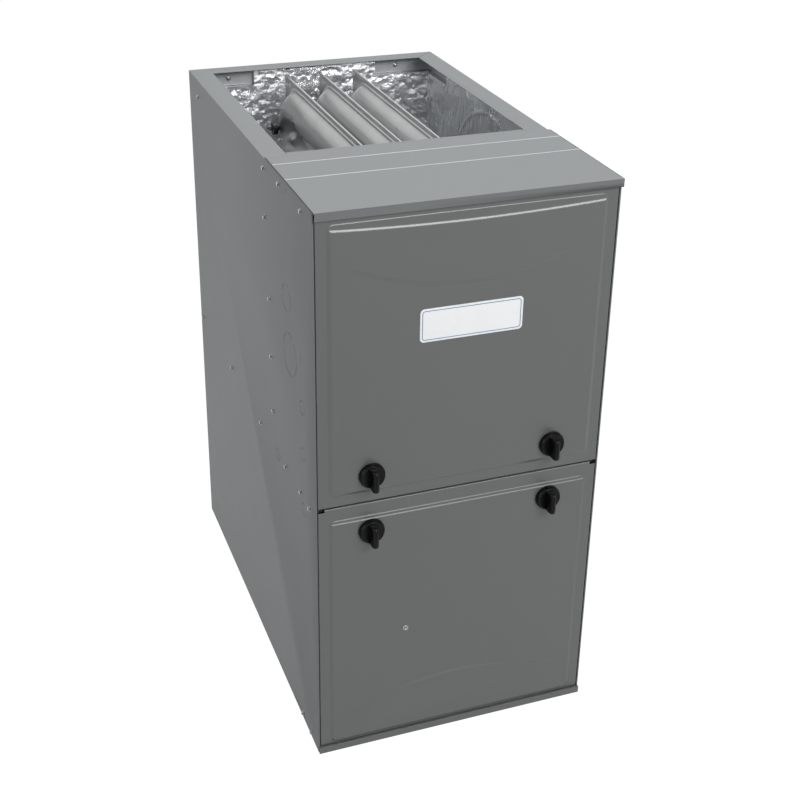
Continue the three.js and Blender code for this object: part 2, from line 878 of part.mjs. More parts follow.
function straightPass(section, z, from, to) {
  return slabY(section, from, to).translate([0, 0, z]);
}

// Half a turn down from one pass to the next, about a centre in y and z.
function passBend(section, y, z, radius, side) {
  const path = new THREE.Curve();
  path.getPoint = (t) => {
    const angle = Math.PI * (0.5 - t);
    return new THREE.Vector3(0, y + side * radius * Math.cos(angle), z + radius * Math.sin(angle));
  };
  return solid(new THREE.ExtrudeGeometry(section, {
    steps: cell.bendSteps,
    extrudePath: path,
    bevelEnabled: false,
  }));
}

// The gas way of one cell: a pass back, a bend down, a pass forward, a bend down and a pass back.
function serpentine(shrink, overrun) {
  const section = ovalOutline(cell.halfWidth - shrink, cell.halfHeight - shrink, cell.sides);
  const levels = Array.from({ length: cell.passes }, (_, n) => cell.passZ - n * cell.passStep);
  const radius = cell.passStep / 2;
  const lap = 0.2;
  return join(
    straightPass(section, levels[0], cellFront - overrun, cell.backBend + lap),
    passBend(section, cell.backBend, levels[0] - radius, radius, 1),
    straightPass(section, levels[1], cell.frontBend - lap, cell.backBend + lap),
    passBend(section, cell.frontBend, levels[1] - radius, radius, -1),
    straightPass(section, levels[2], cell.frontBend - lap, cell.back + overrun),
  );
}

function primaryCell() {
  const { seam, bead, back, bottom, top, gauge } = cell;
  const mouthSide = cell.halfWidth + cell.flange;
  const mouthRise = cell.halfHeight + cell.flange;
  const web = block(-seam / 2, seam / 2, cellFront, back, bottom, top);
  const edge = block(-bead / 2, bead / 2, cellFront, back, top - bead, top);
  const mouth = block(
    -mouthSide, mouthSide, cellFront, cellFront + gauge, cell.passZ - mouthRise, cell.passZ + mouthRise,
  );
  return cut(join(serpentine(0, 0), web, edge, mouth), serpentine(gauge, past));
}

function condensingCoil() {
  const { halfWidth, bottom, top, gauge } = coil;
  const pitchX = (2 * halfWidth) / coil.columns;
  const pitchZ = (top - bottom) / coil.rows;
  const pitchY = (cell.back - cellFront - gauge) / (coil.plates - 1);
  const plates = Array.from({ length: coil.plates }, (_, n) => {
    const y = cellFront + n * pitchY;
    return block(-halfWidth, halfWidth, y, y + gauge, bottom, top);
  });
  const tubes = Array.from({ length: coil.columns * coil.rows }, (_, n) => {
    const x = -halfWidth + (0.5 + (n % coil.columns)) * pitchX;
    const z = bottom + (0.5 + Math.floor(n / coil.columns)) * pitchZ;
    return rod('y', coil.tube, cellFront, cell.back, [x, z], hexagon);
  });
  return join(...plates, ...tubes);
}

function couplingBox() {
  const { halfWidth: side, bottom, top } = coupling;
  const back = backFoil - fit;
  const rim = block(-side, side, couplingFront, back, bottom, top);
  const hollow = block(
    -side + sheet, side - sheet, couplingFront - past, back - sheet, bottom + sheet, top - sheet,
  );
  const flange = block(-side, side, couplingFront, couplingFront + sheet, coil.top, lowPassZ);
  const section = ovalOutline(cell.halfWidth, cell.halfHeight, cell.sides);
  const inlets = cellPlaces().map((x) => {
    const inlet = straightPass(section, lowPassZ, couplingFront - past, couplingFront + sheet + past);
    return inlet.translate([x, 0, 0]);
  });
  return cut(join(cut(rim, hollow), flange), ...inlets);
}

function collectorBox() {
  const { half: side, bottom, top, wall, boss, bossLength } = collector;
  const front = collectorFront + bossLength;
  const back = cellPanel.front - fit;
  const shell = block(-side, side, front, back, bottom, top);
  const neck = rod('y', boss, collectorFront, front + past, [inducer.x, inducerZ]);
  const hollow = block(-side + wall, side - wall, front + wall, back + past, bottom + wall, top - wall);
  const eye = rod('y', inducer.eye, collectorFront - past, front + wall + past, [inducer.x, inducerZ]);
  return cut(join(shell, neck), hollow, eye);
}

// The round high limit switch, with its two terminals pointing away from the cell.
function limitSwitch() {
  const { radius, deep, lug, lugLength, tip, tipInner, tipOuter, tipThick } = limit;
  const boss = rod('x', lug, -lugLength - past, 0, [0, 0]);
  const body = rod('x', radius, -lugLength - deep, -lugLength, [0, 0]);
  const back = -lugLength - deep;
  const tips = [-1, 1].map((side) => block(
    back - tip, back + past, side * tipInner, side * tipOuter, -tipThick / 2, tipThick / 2,
  ));
  return join(boss, body, ...tips);
}

function buildHeatExchangers() {
  cellPlaces().forEach((x, n) => {
    place(`primary_cell_${cellWords[n] ?? n}`, primaryCell(), looks.aluminised, [x, 0, 0]);
  });
  place('condensing_coil', condensingCoil(), looks.stainless);
  place('coupling_box', couplingBox(), looks.stainless);
  place('collector_box', collectorBox(), looks.blackPlastic);
  const bendRadius = cell.passStep / 2;
  const shellFace = cellPlaces()[0] - cell.halfWidth - fit;
  const seat = [shellFace, cell.backBend + bendRadius, cell.passZ - bendRadius];
  place('limit_switch', limitSwitch(), looks.blackPlastic, seat);
}

// ---------------------------------------------------------------- inducer, vent, drain and switch

// A point of a scroll wall, in the two axes of its own plane, after a turn in degrees from the outlet.
// The outlet leaves along the second axis, past the far side of the first.
function scrollPoint(scroll, turn, wall = 0) {
  const taper = (scroll.outerRadius - scroll.cutRadius) / scroll.cutTurn;
  const radius = scroll.outerRadius - taper * turn - wall;
  const angle = THREE.MathUtils.degToRad(-turn);
  return [radius * Math.cos(angle), radius * Math.sin(angle)];
}

function scrollOutline(scroll, outlet, wall) {
  const points = [];
  for (let n = 0; n <= scroll.steps; n++) {
    points.push(scrollPoint(scroll, (scroll.cutTurn * n) / scroll.steps, wall));
  }
  const inner = points[points.length - 1][0] + wall;
  points.push([inner, outlet]);
  points.push([scroll.outerRadius - wall, outlet]);
  return points;
}

// The inducer's scroll lies in x and z, its outlet to the left at the top.
function inducerOutline(outlet, wall) {
  const points = scrollOutline(inducer, outlet, wall);
  return outlineOf(points.map(([u, v]) => [inducer.x - v, inducerZ + u]));
}

function inducerHousing() {
  const { wall, outletX, collar, collarLength, shaft, x } = inducer;
  const middle = [x, inducerZ];
  const ventLine = [vent.y, vent.z];
  const outlet = x - outletX;
  const bore = collar - wall;
  const shell = slabY(inducerOutline(outlet, 0), inducerFront, inducerBack);
  const neck = rod('x', collar, outletX - collarLength, outletX + wall, ventLine);
  const hollow = slabY(inducerOutline(outlet - wall, wall), inducerFront + wall, inducerBack - wall);
  const mouth = rod('x', bore, outletX - collarLength - past, outletX - past, ventLine);
  const between = block(
    outletX - 2 * past, outletX + 2 * wall, inducerFront + wall, inducerBack - wall,
    vent.z - collar, vent.z + collar,
  );
  const throat = rod('x', bore, outletX - 2 * past, outletX + 2 * wall, ventLine).intersect(between);
  const eye = rod('y', inducer.eye, inducerBack - wall - past, inducerBack + past, middle);
  const shaftHole = rod('y', 2 * shaft, inducerFront - past, inducerFront + wall + past, middle);
  return cut(join(shell, neck), hollow, mouth, throat, eye, shaftHole);
}

function inducerWheel() {
  const { radius, deep, blades, vane, plate: thick, hub: hubRadius, gap, shaftIn } = inducerRotor;
  const front = inducerFront + inducer.wall + gap;
  const back = front + deep;
  const plate = rod('y', radius, front, front + thick, [0, 0]);
  const shroud = ring('y', radius, inducer.eye, back - thick, back, [0, 0]);
  const vanes = Array.from({ length: blades }, (_, n) => {
    const blade = block(hubRadius - past, radius - past, front + past, back - past, -vane / 2, vane / 2);
    return blade.rotate([0, (360 * n) / blades, 0]);
  });
  const hub = rod('y', hubRadius, front, back - gap, [0, 0]);
  const axle = rod('y', inducer.shaft, inducerDrive.front + shaftIn, front + gap, [0, 0]);
  return join(plate, shroud, hub, axle, ...vanes);
}

function inducerMotor() {
  const { radius, front, cap, shell, wall, backWall, rim, skirt, plate } = inducerDrive;
  const { slots, slot, slotInner, slotOuter } = inducerDrive;
  const back = inducerFront - fit;
  const innerRadius = radius - shell - wall;
  const body = rod('y', radius - shell, front, back - plate, [0, 0]);
  const band = rod('y', radius, front + cap, back - skirt, [0, 0]);
  const flange = rod('y', radius + rim, back - plate, back, [0, 0]);
  const hollow = rod('y', innerRadius, front + wall, back - backWall, [0, 0]);
  const bore = rod('y', inducer.shaft + inducer.shaftPlay, front + wall / 2, back + past, [0, 0]);
  const vents = Array.from({ length: slots }, (_, n) => {
    const cooling = block(-slot / 2, slot / 2, front - past, front + wall + past, slotInner, slotOuter);
    return cooling.rotate([0, (360 * (n + 0.5)) / slots, 0]);
  });
  return cut(join(body, band, flange), hollow, bore, ...vents);
}

function ventPipe() {
  const start = inducer.outletX - inducer.collarLength - fit;
  const end = -inside + fit;
  const line = [vent.y, vent.z];
  const sides = facetsFor(vent.radius);
  const pipe = ring('x', vent.radius, vent.radius - vent.wall, end, start, line, sides);
  const sleeve = ring(
    'x', vent.radius + vent.sleeve, inducer.collar + fit,
    start - vent.sleeveLap, inducer.outletX - vent.sleeveShort, line, sides,
  );
  return join(pipe, sleeve);
}

function condensateTrap() {
  const { left, right, front, back, top, wall, neck: neckRadius, bore: boreRadius, neckTall } = trap;
  const bottom = deck.top + fit;
  const middle = [(left + right) / 2, (front + back) / 2];
  const shell = block(left, right, front, back, bottom, top);
  const hollow = block(left + wall, right - wall, front + wall, back - wall, bottom + wall, top - wall);
  const neck = rod('z', neckRadius, top - past, top + neckTall, middle);
  const bore = rod('z', boreRadius, top - wall - past, top + neckTall + past, middle);
  return cut(join(shell, neck), hollow, bore);
}

function drainTube() {
  const { radius, steps, run, behind, drift, low, climb, crest, rise } = drain;
  const middle = (trap.left + trap.right) / 2;
  const start = -collector.half - fit;
  const bottom = collector.bottom + low;
  return tube([
    [start, trap.back + behind, bottom],
    [start - run, trap.back + behind, bottom],
    [middle + run, trap.back + behind - drift, bottom + climb],
    [middle, trap.back + run + radius, bottom + crest],
    [middle, trap.back + run, bottom + rise],
    [middle, trap.back + fit, bottom + rise],
  ], radius, steps);
}

function pressureSwitchBody() {
  const { radius, deep, faceRadius, shoulderRadius, shoulderDeep, rimDeep } = pressureSwitch;
  const { bracket: gauge, tab, barb: barbRadius, barbLength } = pressureSwitch;
  const back = cellPanel.front - fit;
  const front = back - deep;
  const plate = block(-radius, radius, back - gauge, back, -radius, radius + tab);
  const body = turned([
    [0, front],
    [faceRadius, front],
    [shoulderRadius, front + shoulderDeep],
    [radius, front + rimDeep],
    [radius, back - gauge / 2],
    [0, back - gauge / 2],
  ], facetsFor(radius));
  const barb = rod('z', barbRadius, -radius - barbLength, -radius + 2 * gauge, [0, back - deep / 2]);
  return join(plate, body, barb);
}

function pressureHose() {
  const { x, z, radius, barbLength, deep } = pressureSwitch;
  const { offset, forward, straight } = hose;
  const y = cellPanel.front - fit - deep / 2;
  const top = z - radius - barbLength - fit;
  return tube([
    [x + offset, y - forward, collector.top + fit],
    [x + offset, y - forward, collector.top + straight],
    [x, y, top - straight],
    [x, y, top],
  ], hose.radius, hose.steps);
}

function buildVenting() {
  place('inducer_housing', inducerHousing(), looks.blackPlastic);
  place('inducer_wheel', inducerWheel(), looks.stainless, [inducer.x, 0, inducerZ]);
  place('inducer_motor', inducerMotor(), looks.motorBlack, [inducer.x, 0, inducerZ]);
  place('vent_pipe', ventPipe(), looks.whitePipe);
  place('condensate_trap', condensateTrap(), looks.blackPlastic);
  place('drain_tube', drainTube(), looks.rubber);
  place('pressure_switch', pressureSwitchBody(), looks.greyPlastic, [pressureSwitch.x, 0, pressureSwitch.z]);
  place('pressure_hose', pressureHose(), looks.rubber);
}

// ---------------------------------------------------------------- burners and gas train

function burnerBoxShell() {
  const { half: side, bottom, top, front, probeHole } = burnerBox;
  const back = cellPanel.front - fit;
  const shell = block(-side, side, front, back, bottom, top);
  const hollow = block(
    -side + sheet, side - sheet, front - past, back + past, bottom + sheet, top - sheet,
  );
  const holes = [igniter, sensor].map((probe) => rod(
    'z', probeHole, bottom - past, bottom + sheet + past, [probe.x, probe.y],
  ));
  return cut(shell, hollow, ...holes);
}

// A flared burner: a bell at the gas end, a narrow throat, then a wide mouth with a flange.
function burnerTube() {
  const { length, inlet, throat, flare, flange, wall, rim } = burner;
  const throatStart = burner.throatStart * length;
  const throatEnd = burner.throatEnd * length;
  const flareStart = burner.flareStart * length;
  return turned([
    [inlet, 0],
    [throat, throatStart],
    [throat, throatEnd],
    [flare, flareStart],
    [flare, length - rim],
    [flange, length - rim],
    [flange, length],
    [flare - wall, length],
    [flare - wall, flareStart],
    [throat - wall, throatEnd],
    [throat - wall, throatStart],
    [inlet - wall, 0],
    [inlet, 0],
  ], facetsFor(throat));
}

function burnerBase() {
  return cellPanel.front - fit - burner.length;
}

function gasManifold() {
  const { y, radius, nipple, bore, boreStart, tab } = manifold;
  const side = burnerBox.half + fit;
  const end = side + sheet;
  const tip = burnerBase() - fit;
  const pipe = rod('x', radius, -end, valve.x + radius, [y, cell.passZ]);
  const drop = rod('z', radius, valve.bossTop + fit, cell.passZ + radius, [valve.x, y]);
  const nipples = cellPlaces().map((x) => rod('y', nipple, y, tip, [x, cell.passZ]));
  const bores = cellPlaces().map((x) => rod('y', bore, y + boreStart, tip + past, [x, cell.passZ]));
  const tabs = [-1, 1].map((s) => block(
    s * side, s * end, y, burnerBox.front + tab, cell.passZ - radius / 2, cell.passZ + radius / 2,
  ));
  return cut(join(pipe, drop, ...nipples, ...tabs), ...bores);
}

function gasValve() {
  const { halfWidth, front, back, bottom, top, boss, bossTop } = valve;
  const { inlet: inletRadius, inletSides, inletDrop, throat: throatRadius, throatDeep } = valve;
  const { tower: towerRadius, towerTall, towerInset } = valve;
  const gasLine = [0, manifold.y];
  const towerPlace = [-halfWidth + towerInset, (front + back) / 2];
  const body = block(-halfWidth, halfWidth, front, back, bottom, top);
  const outlet = rod('z', boss, top - past, bossTop, gasLine);
  const inlet = rod('z', inletRadius, bottom - inletDrop, bottom + past, gasLine, inletSides);
  const tower = rod('z', towerRadius, top - past, top + towerTall, towerPlace);
  const throat = rod('z', throatRadius, bottom - inletDrop - past, bottom + throatDeep, gasLine);
  const seatDepth = front + valveKnob.stemLength + past;
  const seat = rod('y', valveKnob.stem + fit, front - past, seatDepth, [0, valveKnob.z]);
  return cut(join(body, outlet, inlet, tower), throat, seat);
}

function gasValveKnob() {
  const { radius, deep, stem: stemRadius, stemLength, grip: width } = valveKnob;
  const front = valve.front - fit;
  const disc = rod('y', radius, front - deep / 2, front, [0, 0]);
  const grip = block(-width / 2, width / 2, front - deep, front - past, -radius + past, radius - past);
  const stem = rod('y', stemRadius, front - past, valve.front + stemLength, [0, 0]);
  return join(disc, grip, stem);
}

function hotSurfaceIgniter() {
  const { base: side, drop, stalk: stalkRadius, stalkTop, element: reach, thick, top } = igniter;
  const bottom = burnerBox.bottom;
  const base = block(-side, side, -side, side, bottom - drop, bottom - fit);
  const stalk = rod('z', stalkRadius, bottom - past, bottom + stalkTop, [0, 0]);
  const element = block(-reach, reach, -thick / 2, thick / 2, bottom + stalkTop - past, bottom + top);
  return join(base, stalk, element);
}

function flameSensor() {
  const { base: side, drop, stalk: stalkRadius, stalkTop, wire: wireRadius, top } = sensor;
  const bottom = burnerBox.bottom;
  const base = block(-side, side, -side, side, bottom - drop, bottom - fit);
  const stalk = rod('z', stalkRadius, bottom - past, bottom + stalkTop, [0, 0]);
  const wire = rod('z', wireRadius, bottom + stalkTop - past, bottom + top, [0, 0]);
  return join(base, stalk, wire);
}

function rolloutSwitch() {
  const { radius, deep, ear, strap: strapHalf, strapThick, ceiling, button, buttonPlay } = rollout;
  const top = burnerBox.bottom - fit;
  const body = rod('z', radius, top - deep, top, [0, 0]);
  const strap = block(-radius - ear, radius + ear, -strapHalf, strapHalf, top - strapThick, top);
  const bore = rod('z', button + buttonPlay, top - deep - past, top - ceiling, [0, 0]);
  return cut(join(body, strap), bore);
}

function rolloutButton() {
  const bottom = burnerBox.bottom - fit - rollout.deep;
  return rod('z', rollout.button, bottom - rollout.out, bottom + rollout.buttonIn, [0, 0]);
}

function buildBurners() {
  place('burner_box', burnerBoxShell(), looks.galvanised);
  cellPlaces().forEach((x, n) => {
    place(`burner_${cellWords[n] ?? n}`, burnerTube(), looks.aluminised, [x, burnerBase(), cell.passZ]);
  });
  place('gas_manifold', gasManifold(), looks.blackPipe);
  place('gas_valve', gasValve(), looks.castZinc, [valve.x, 0, 0]);
  place('gas_valve_knob', gasValveKnob(), looks.blackPlastic, [valve.x, 0, valveKnob.z]);
  place('igniter', hotSurfaceIgniter(), looks.ceramic, [igniter.x, igniter.y, 0]);
  place('flame_sensor', flameSensor(), looks.ceramic, [sensor.x, sensor.y, 0]);
  place('rollout_switch', rolloutSwitch(), looks.blackPlastic, [rollout.x, rollout.y, 0]);
  place('rollout_reset_button', rolloutButton(), looks.redPlastic, [rollout.x, rollout.y, 0]);
}

// ---------------------------------------------------------------- blower

function blowerOutline(outlet, wall) {
  const points = scrollOutline(blower, outlet, wall);
  return outlineOf(points.map(([u, v]) => [blower.y + u, blower.z + v]));
}

function blowerHousing() {
  const middle = [blower.y, blower.z];
  const outlet = deckSeat - blower.z;
  const edge = blower.half - sheet;
  const lip = blower.half + blower.eyeLip;
  const shell = slabX(blowerOutline(outlet, 0), -blower.half, blower.half);
  const hollow = slabX(blowerOutline(outlet + past, sheet), -edge, edge);
  const rims = [-1, 1].map((s) => rod('x', blower.eyeRim, ...stretch(s, edge, lip), middle));
  const eyes = rod('x', blower.eye, -lip - past, lip + past, middle);
  return cut(join(shell, ...rims), hollow, eyes);
}

function blowerWheel() {
  const { radius, half: reach, inner, blades: count, blade: thick, rake } = wheel;
  const ends = [-1, 1].map((s) => ring(
    'x', radius, radius - wheel.ring, ...stretch(s, reach - wheel.ringWide, reach), [0, 0], count,
  ));
  const disc = rod('x', radius - past, -wheel.disc / 2, wheel.disc / 2, [0, 0], count);
  const hub = rod('x', wheel.hub, -wheel.hubLeft, wheel.hubRight, [0, 0]);
  const shaft = rod('x', motor.shaft, -wheel.shaftLeft, motor.shaftEnd, [0, 0]);
  const span = radius - inner;
  const blades = Array.from({ length: count }, (_, n) => {
    const blade = block(-reach + past, reach - past, -span / 2, span / 2, -thick / 2, thick / 2);
    const raked = blade.rotate([rake, 0, 0]).translate([0, radius - span / 2 - wheel.inset, 0]);
    return raked.rotate([(360 * (n + 0.5)) / count, 0, 0]);
  });
  return join(disc, hub, shaft, ...ends, ...blades);
}

function blowerMotor() {
  const { radius, near, far, wall, nearCap, farCap, shaft, shaftPlay } = motor;
  const { slots, slotInner, slotOuter } = motor;
  const slotSide = motor.slot / 2;
  const body = rod('x', radius, near, far, [0, 0]);
  const hollow = rod('x', radius - wall, near + nearCap, far - farCap, [0, 0]);
  const bore = rod('x', shaft + shaftPlay, near - past, near + nearCap + past, [0, 0]);
  const vents = Array.from({ length: slots }, (_, n) => {
    const slot = block(far - farCap - past, far + past, slotInner, slotOuter, -slotSide, slotSide);
    return slot.rotate([(360 * n) / slots, 0, 0]);
  });
  return cut(body, hollow, bore, ...vents);
}

// A band round the motor, held to the eye of the housing by three arms.
function motorMount() {
  const { band: bandThick, bandWide, arm: armWidth, armThick } = mount;
  const { reach, foot: footWide, standOff, turns } = mount;
  const inner = motor.radius + fit;
  const outer = inner + bandThick;
  const front = blower.half + blower.eyeLip + standOff;
  const back = front + armThick;
  const band = ring('x', outer, inner, front - bandWide, back + bandWide, [0, 0], facetsFor(motor.radius));
  const arms = turns.map((turn) => {
    const arm = block(front, back, outer - past, reach, -armWidth / 2, armWidth / 2);
    const foot = block(blower.half + fit, back, reach - footWide, reach, -armWidth / 2, armWidth / 2);
    return join(arm, foot).rotate([turn, 0, 0]);
  });
  return join(band, ...arms);
}

function runCapacitor() {
  const { x, y, radius, half: reach, strap, strapHalf, ear, post, postNear, postFar } = capacitor;
  const z = deckSeat - strap - radius;
  const earReach = radius + ear;
  const can = rod('x', radius, x - reach, x + reach, [y, z]);
  const band = rod('x', radius + strap, x - strapHalf, x + strapHalf, [y, z]);
  const ears = block(x - strapHalf, x + strapHalf, y - earReach, y + earReach, deckSeat - strap, deckSeat);
  const posts = [-1, 1].map((s) => block(
    x + reach - past, x + reach + post, y + s * postNear, y + s * postFar, z - strap / 2, z + strap / 2,
  ));
  return join(can, band, ears, ...posts);
}

function buildBlower() {
  const middle = [0, blower.y, blower.z];
  place('blower_housing', blowerHousing(), looks.galvanised);
  place('blower_wheel', blowerWheel(), looks.galvanised, middle);
  place('blower_motor', blowerMotor(), looks.motorBlack, middle);
  place('motor_mount', motorMount(), looks.galvanised, middle);
  place('run_capacitor', runCapacitor(), looks.zinc);
}

// ---------------------------------------------------------------- controls

function controlBracket() {
  const { left, right, y, bottom, flange } = control;
  const plate = block(left, right, y, y + sheet, bottom, deckSeat);
  const leftEnd = block(left, left + sheet, y, y + flange, bottom, deckSeat);
  const rightEnd = block(right - sheet, right, y, y + flange, bottom, deckSeat);
  const lip = block(left, right, y, y + flange, deckSeat - sheet, deckSeat);
  return join(plate, lip, leftEnd, rightEnd);
}

// A block standing on the board, measured from the board's lower left corner.
function onBoard({ left, right, bottom, top, tall }) {
  const x = control.left + board.margin;
  return block(
    x + left, x + right, boardFace - tall, boardFace + past, board.bottom + bottom, board.bottom + top,
  );
}

function controlBoard() {
  const left = control.left + board.margin;
  const right = control.right - board.margin;
  const plate = block(left, right, boardFace, boardFace + board.thick, board.bottom, board.top);
  const relays = Array.from({ length: relay.count }, (_, n) => {
    const start = relay.first + n * relay.pitch;
    return onBoard({ ...relay, left: start, right: start + relay.width });
  });
  const socket = block(
    grommet.x - plug.half, grommet.x + plug.half, grommet.y - plug.forward, boardFace + past,
    board.top - plug.height, board.top,
  );
  const can = rod(
    'y', boardCap.radius, boardFace - boardCap.tall, boardFace + past,
    [left + boardCap.x, board.bottom + boardCap.z],
  );
  return join(plate, ...relays, onBoard(terminals), onBoard(fuse), socket, can);
}

function lowVoltageTransformer() {
  const { left, right, front, back, bottom, top, winding: inset, core: step, foot, leg } = transformer;
  const [coreFront, coreBack] = [front + step, back - step];
  const core = block(left, right, coreFront, coreBack, bottom, top);
  const winding = block(left + inset, right - inset, front, back, bottom + inset, top - inset);
  const feet = block(left - foot, right + foot, coreFront, coreBack, deckSeat - leg, deckSeat);
  const leftLeg = block(left, left + leg, coreFront, coreBack, top - past, deckSeat);
  const rightLeg = block(right - leg, right, coreFront, coreBack, top - past, deckSeat);
  return join(core, winding, feet, leftLeg, rightLeg);
}

function doorSwitchBody() {
  const { half: side, bottom, back, wall, plunger, play, z } = doorSwitch;
  const front = railFront + sheet + fit;
  const body = block(-side, side, front, back, bottom, deckSeat);
  return cut(body, rod('y', plunger + play, front - past, back - wall, [0, z]));
}

function doorSwitchPlunger() {
  const { plunger, travel, back, wall, spare, z } = doorSwitch;
  return rod('y', plunger, sheet + fit, back - wall - travel - spare, [0, z]);
}

// The wires from the board up through the deck to the gas valve.
function valveLead() {
  const { x, y } = grommet;
  const { straight } = lead;
  const { steps, aside, back, rise } = valveRun;
  const end = valve.x - valve.halfWidth - fit;
  const level = valve.bottom + rise;
  return tube([
    [x, y, board.top + fit],
    [x, y, board.top + straight],
    [x, y, deck.top + straight / 2],
    [x, y, deck.top + straight],
    [x + aside, y + back, deck.top + 3 * straight],
    [end - 4 * straight, manifold.y, deck.top + 5 * straight],
    [end - 2 * straight, manifold.y, level - 5 * straight],
    [end - straight, manifold.y, level],
    [end - straight / 2, manifold.y, level],
    [end, manifold.y, level],
  ], lead.radius, steps);
}

// The wires from the board down and round the housing to the blower motor.
function blowerLead() {
  const { steps, inset, forward, drop, across, back, low, clear, turn, rise } = blowerRun;
  const x = control.right - board.margin - inset;
  const y = control.y - board.thick - forward;
  const top = board.bottom - fit;
  return tube([
    [x, y, top],
    [x + lead.radius, y + lead.radius, top - drop],
    [x + across, y + back, blower.z - low],
    [blower.half + clear, blower.y - turn, blower.z - low],
    [motor.far + 3 * lead.straight, blower.y - rise, blower.z - inset],
    [motor.far + 2 * lead.straight, blower.y, blower.z],
    [motor.far + lead.straight, blower.y, blower.z],
    [motor.far + fit, blower.y, blower.z],
  ], lead.radius, steps);
}

function buildControls() {
  place('wiring_grommet', wiringGrommet(), looks.rubber);
  place('control_bracket', controlBracket(), looks.galvanised);
  place('control_board', controlBoard(), looks.boardGreen);
  place('transformer', lowVoltageTransformer(), looks.motorBlack);
  place('door_switch', doorSwitchBody(), looks.blackPlastic, [doorSwitch.x, 0, 0]);
  place('door_switch_plunger', doorSwitchPlunger(), looks.whitePlate, [doorSwitch.x, 0, 0]);
  place('valve_lead', valveLead(), looks.rubber);
  place('blower_lead', blowerLead(), looks.rubber);
}

// ---------------------------------------------------------------- assembly

buildCabinet();
buildDoors();
buildHeatExchangers();
buildVenting();
buildBurners();
buildBlower();
buildControls();

pieces.position.y = (frontReach - casing.depth) / 2;

const furnace = new THREE.Group();
furnace.name = 'furnace';
furnace.add(pieces);

export default furnace;
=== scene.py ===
# %% [markdown]
# # A forced air gas furnace
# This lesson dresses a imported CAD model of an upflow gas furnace: a grey steel cabinet with two
# doors, open at the top, where the foil-lined duct and three steel heat exchangers show.
# The CAD model is the frame. Every piece that is made here sits where the CAD says and rides on
# one of its bodies, so that the doors, knobs and wheels still move.

import json
import math

import bmesh
import bpy
import numpy as np
from mathutils import Matrix, Vector, noise

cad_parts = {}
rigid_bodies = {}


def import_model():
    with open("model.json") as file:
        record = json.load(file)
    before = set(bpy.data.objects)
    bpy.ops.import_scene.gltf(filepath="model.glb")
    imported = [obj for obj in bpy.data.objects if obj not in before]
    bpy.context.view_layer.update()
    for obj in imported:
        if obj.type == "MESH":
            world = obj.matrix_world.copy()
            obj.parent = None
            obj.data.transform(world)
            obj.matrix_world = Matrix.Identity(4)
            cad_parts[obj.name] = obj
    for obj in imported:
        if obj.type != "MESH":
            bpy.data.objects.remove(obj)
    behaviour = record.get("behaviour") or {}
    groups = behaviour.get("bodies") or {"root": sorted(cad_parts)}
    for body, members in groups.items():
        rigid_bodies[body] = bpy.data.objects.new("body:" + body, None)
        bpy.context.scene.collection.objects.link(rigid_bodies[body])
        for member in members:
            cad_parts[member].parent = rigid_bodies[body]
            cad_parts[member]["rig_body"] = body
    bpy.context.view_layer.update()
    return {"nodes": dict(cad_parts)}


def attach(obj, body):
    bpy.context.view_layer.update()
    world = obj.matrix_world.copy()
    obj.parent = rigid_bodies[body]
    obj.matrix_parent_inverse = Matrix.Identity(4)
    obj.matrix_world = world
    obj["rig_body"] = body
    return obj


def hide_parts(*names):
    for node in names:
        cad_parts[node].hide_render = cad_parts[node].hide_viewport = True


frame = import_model()
nodes = frame["nodes"]
print("CAD nodes:", len(nodes))

# %% [markdown]
# ## Places
# The cabinet is easiest to describe in its own frame, in millimetres: x across from the middle,
# y back from the front plane and z up from the floor. One function turns such a point into metres
# in the frame that the CAD model uses, whose origin is under the middle of the whole object.

# %% Cabinet frame
FRONT = 350.75  # how far the front plane is from the origin
HALF = 222.25  # half the cabinet's width
DEPTH = 730.0
HEIGHT = 889.0
SHEET = 1.0
FIT = 0.3  # gap between pieces that touch


def spot(x, y, z):
    return Vector((x, y - FRONT, z)) / 1000


# %% [markdown]
# ## Camera
# The camera stands to the left of the front and looks down about 26 degrees. Its place, turn and
# lens were found by matching the corners of the cabinet in the photograph with a least squares
# fit. A small vertical shift keeps the optical centre where the photograph has it.

# %% Camera
azimuth, elevation, roll = (math.radians(a) for a in (-20.47, 25.80, 0.95))
distance, aim = 2.31364, Vector((0.039668, 0.022498, 0.506099))
back = Vector((
    math.sin(azimuth) * math.cos(elevation),
    -math.cos(azimuth) * math.cos(elevation),
    math.sin(elevation),
))
level = (-back).cross(Vector((0, 0, 1))).normalized()
upright = level.cross(-back)
right = level * math.cos(roll) + upright * math.sin(roll)
top = upright * math.cos(roll) - level * math.sin(roll)

lens = bpy.data.cameras.new("camera")
lens.lens, lens.sensor_width, lens.shift_y = 62.03, 36.0, -0.08
camera = bpy.data.objects.new("camera", lens)
turn = Matrix((right, top, back)).transposed().to_4x4()
camera.matrix_world = Matrix.Translation(aim + back * distance) @ turn
bpy.context.scene.collection.objects.link(camera)
bpy.context.scene.camera = camera
bpy.context.scene.view_settings.view_transform = "Standard"
print("camera at", [round(v, 3) for v in camera.matrix_world.translation])

# %% [markdown]
# ## Small helpers for nodes
# Materials and geometry trees are both node trees. One helper adds a node, sets its options and
# fills or links its inputs, so that the recipes below read as short lists.

# %% Node helpers
def colour(code):
    """A written colour such as 0x86898a as the linear values that Blender's sockets take."""
    parts = [((code >> shift) & 255) / 255 for shift in (16, 8, 0)]
    return (*[p / 12.92 if p <= 0.04045 else ((p + 0.055) / 1.055) ** 2.4 for p in parts], 1.0)


def add(tree, kind, inputs=None, **options):
    node = tree.nodes.new(kind)
    for option, value in options.items():
        setattr(node, option, value)
    for socket, value in (inputs or {}).items():
        if isinstance(value, bpy.types.NodeSocket):
            tree.links.new(value, node.inputs[socket])
        else:
            node.inputs[socket].default_value = value
    return node


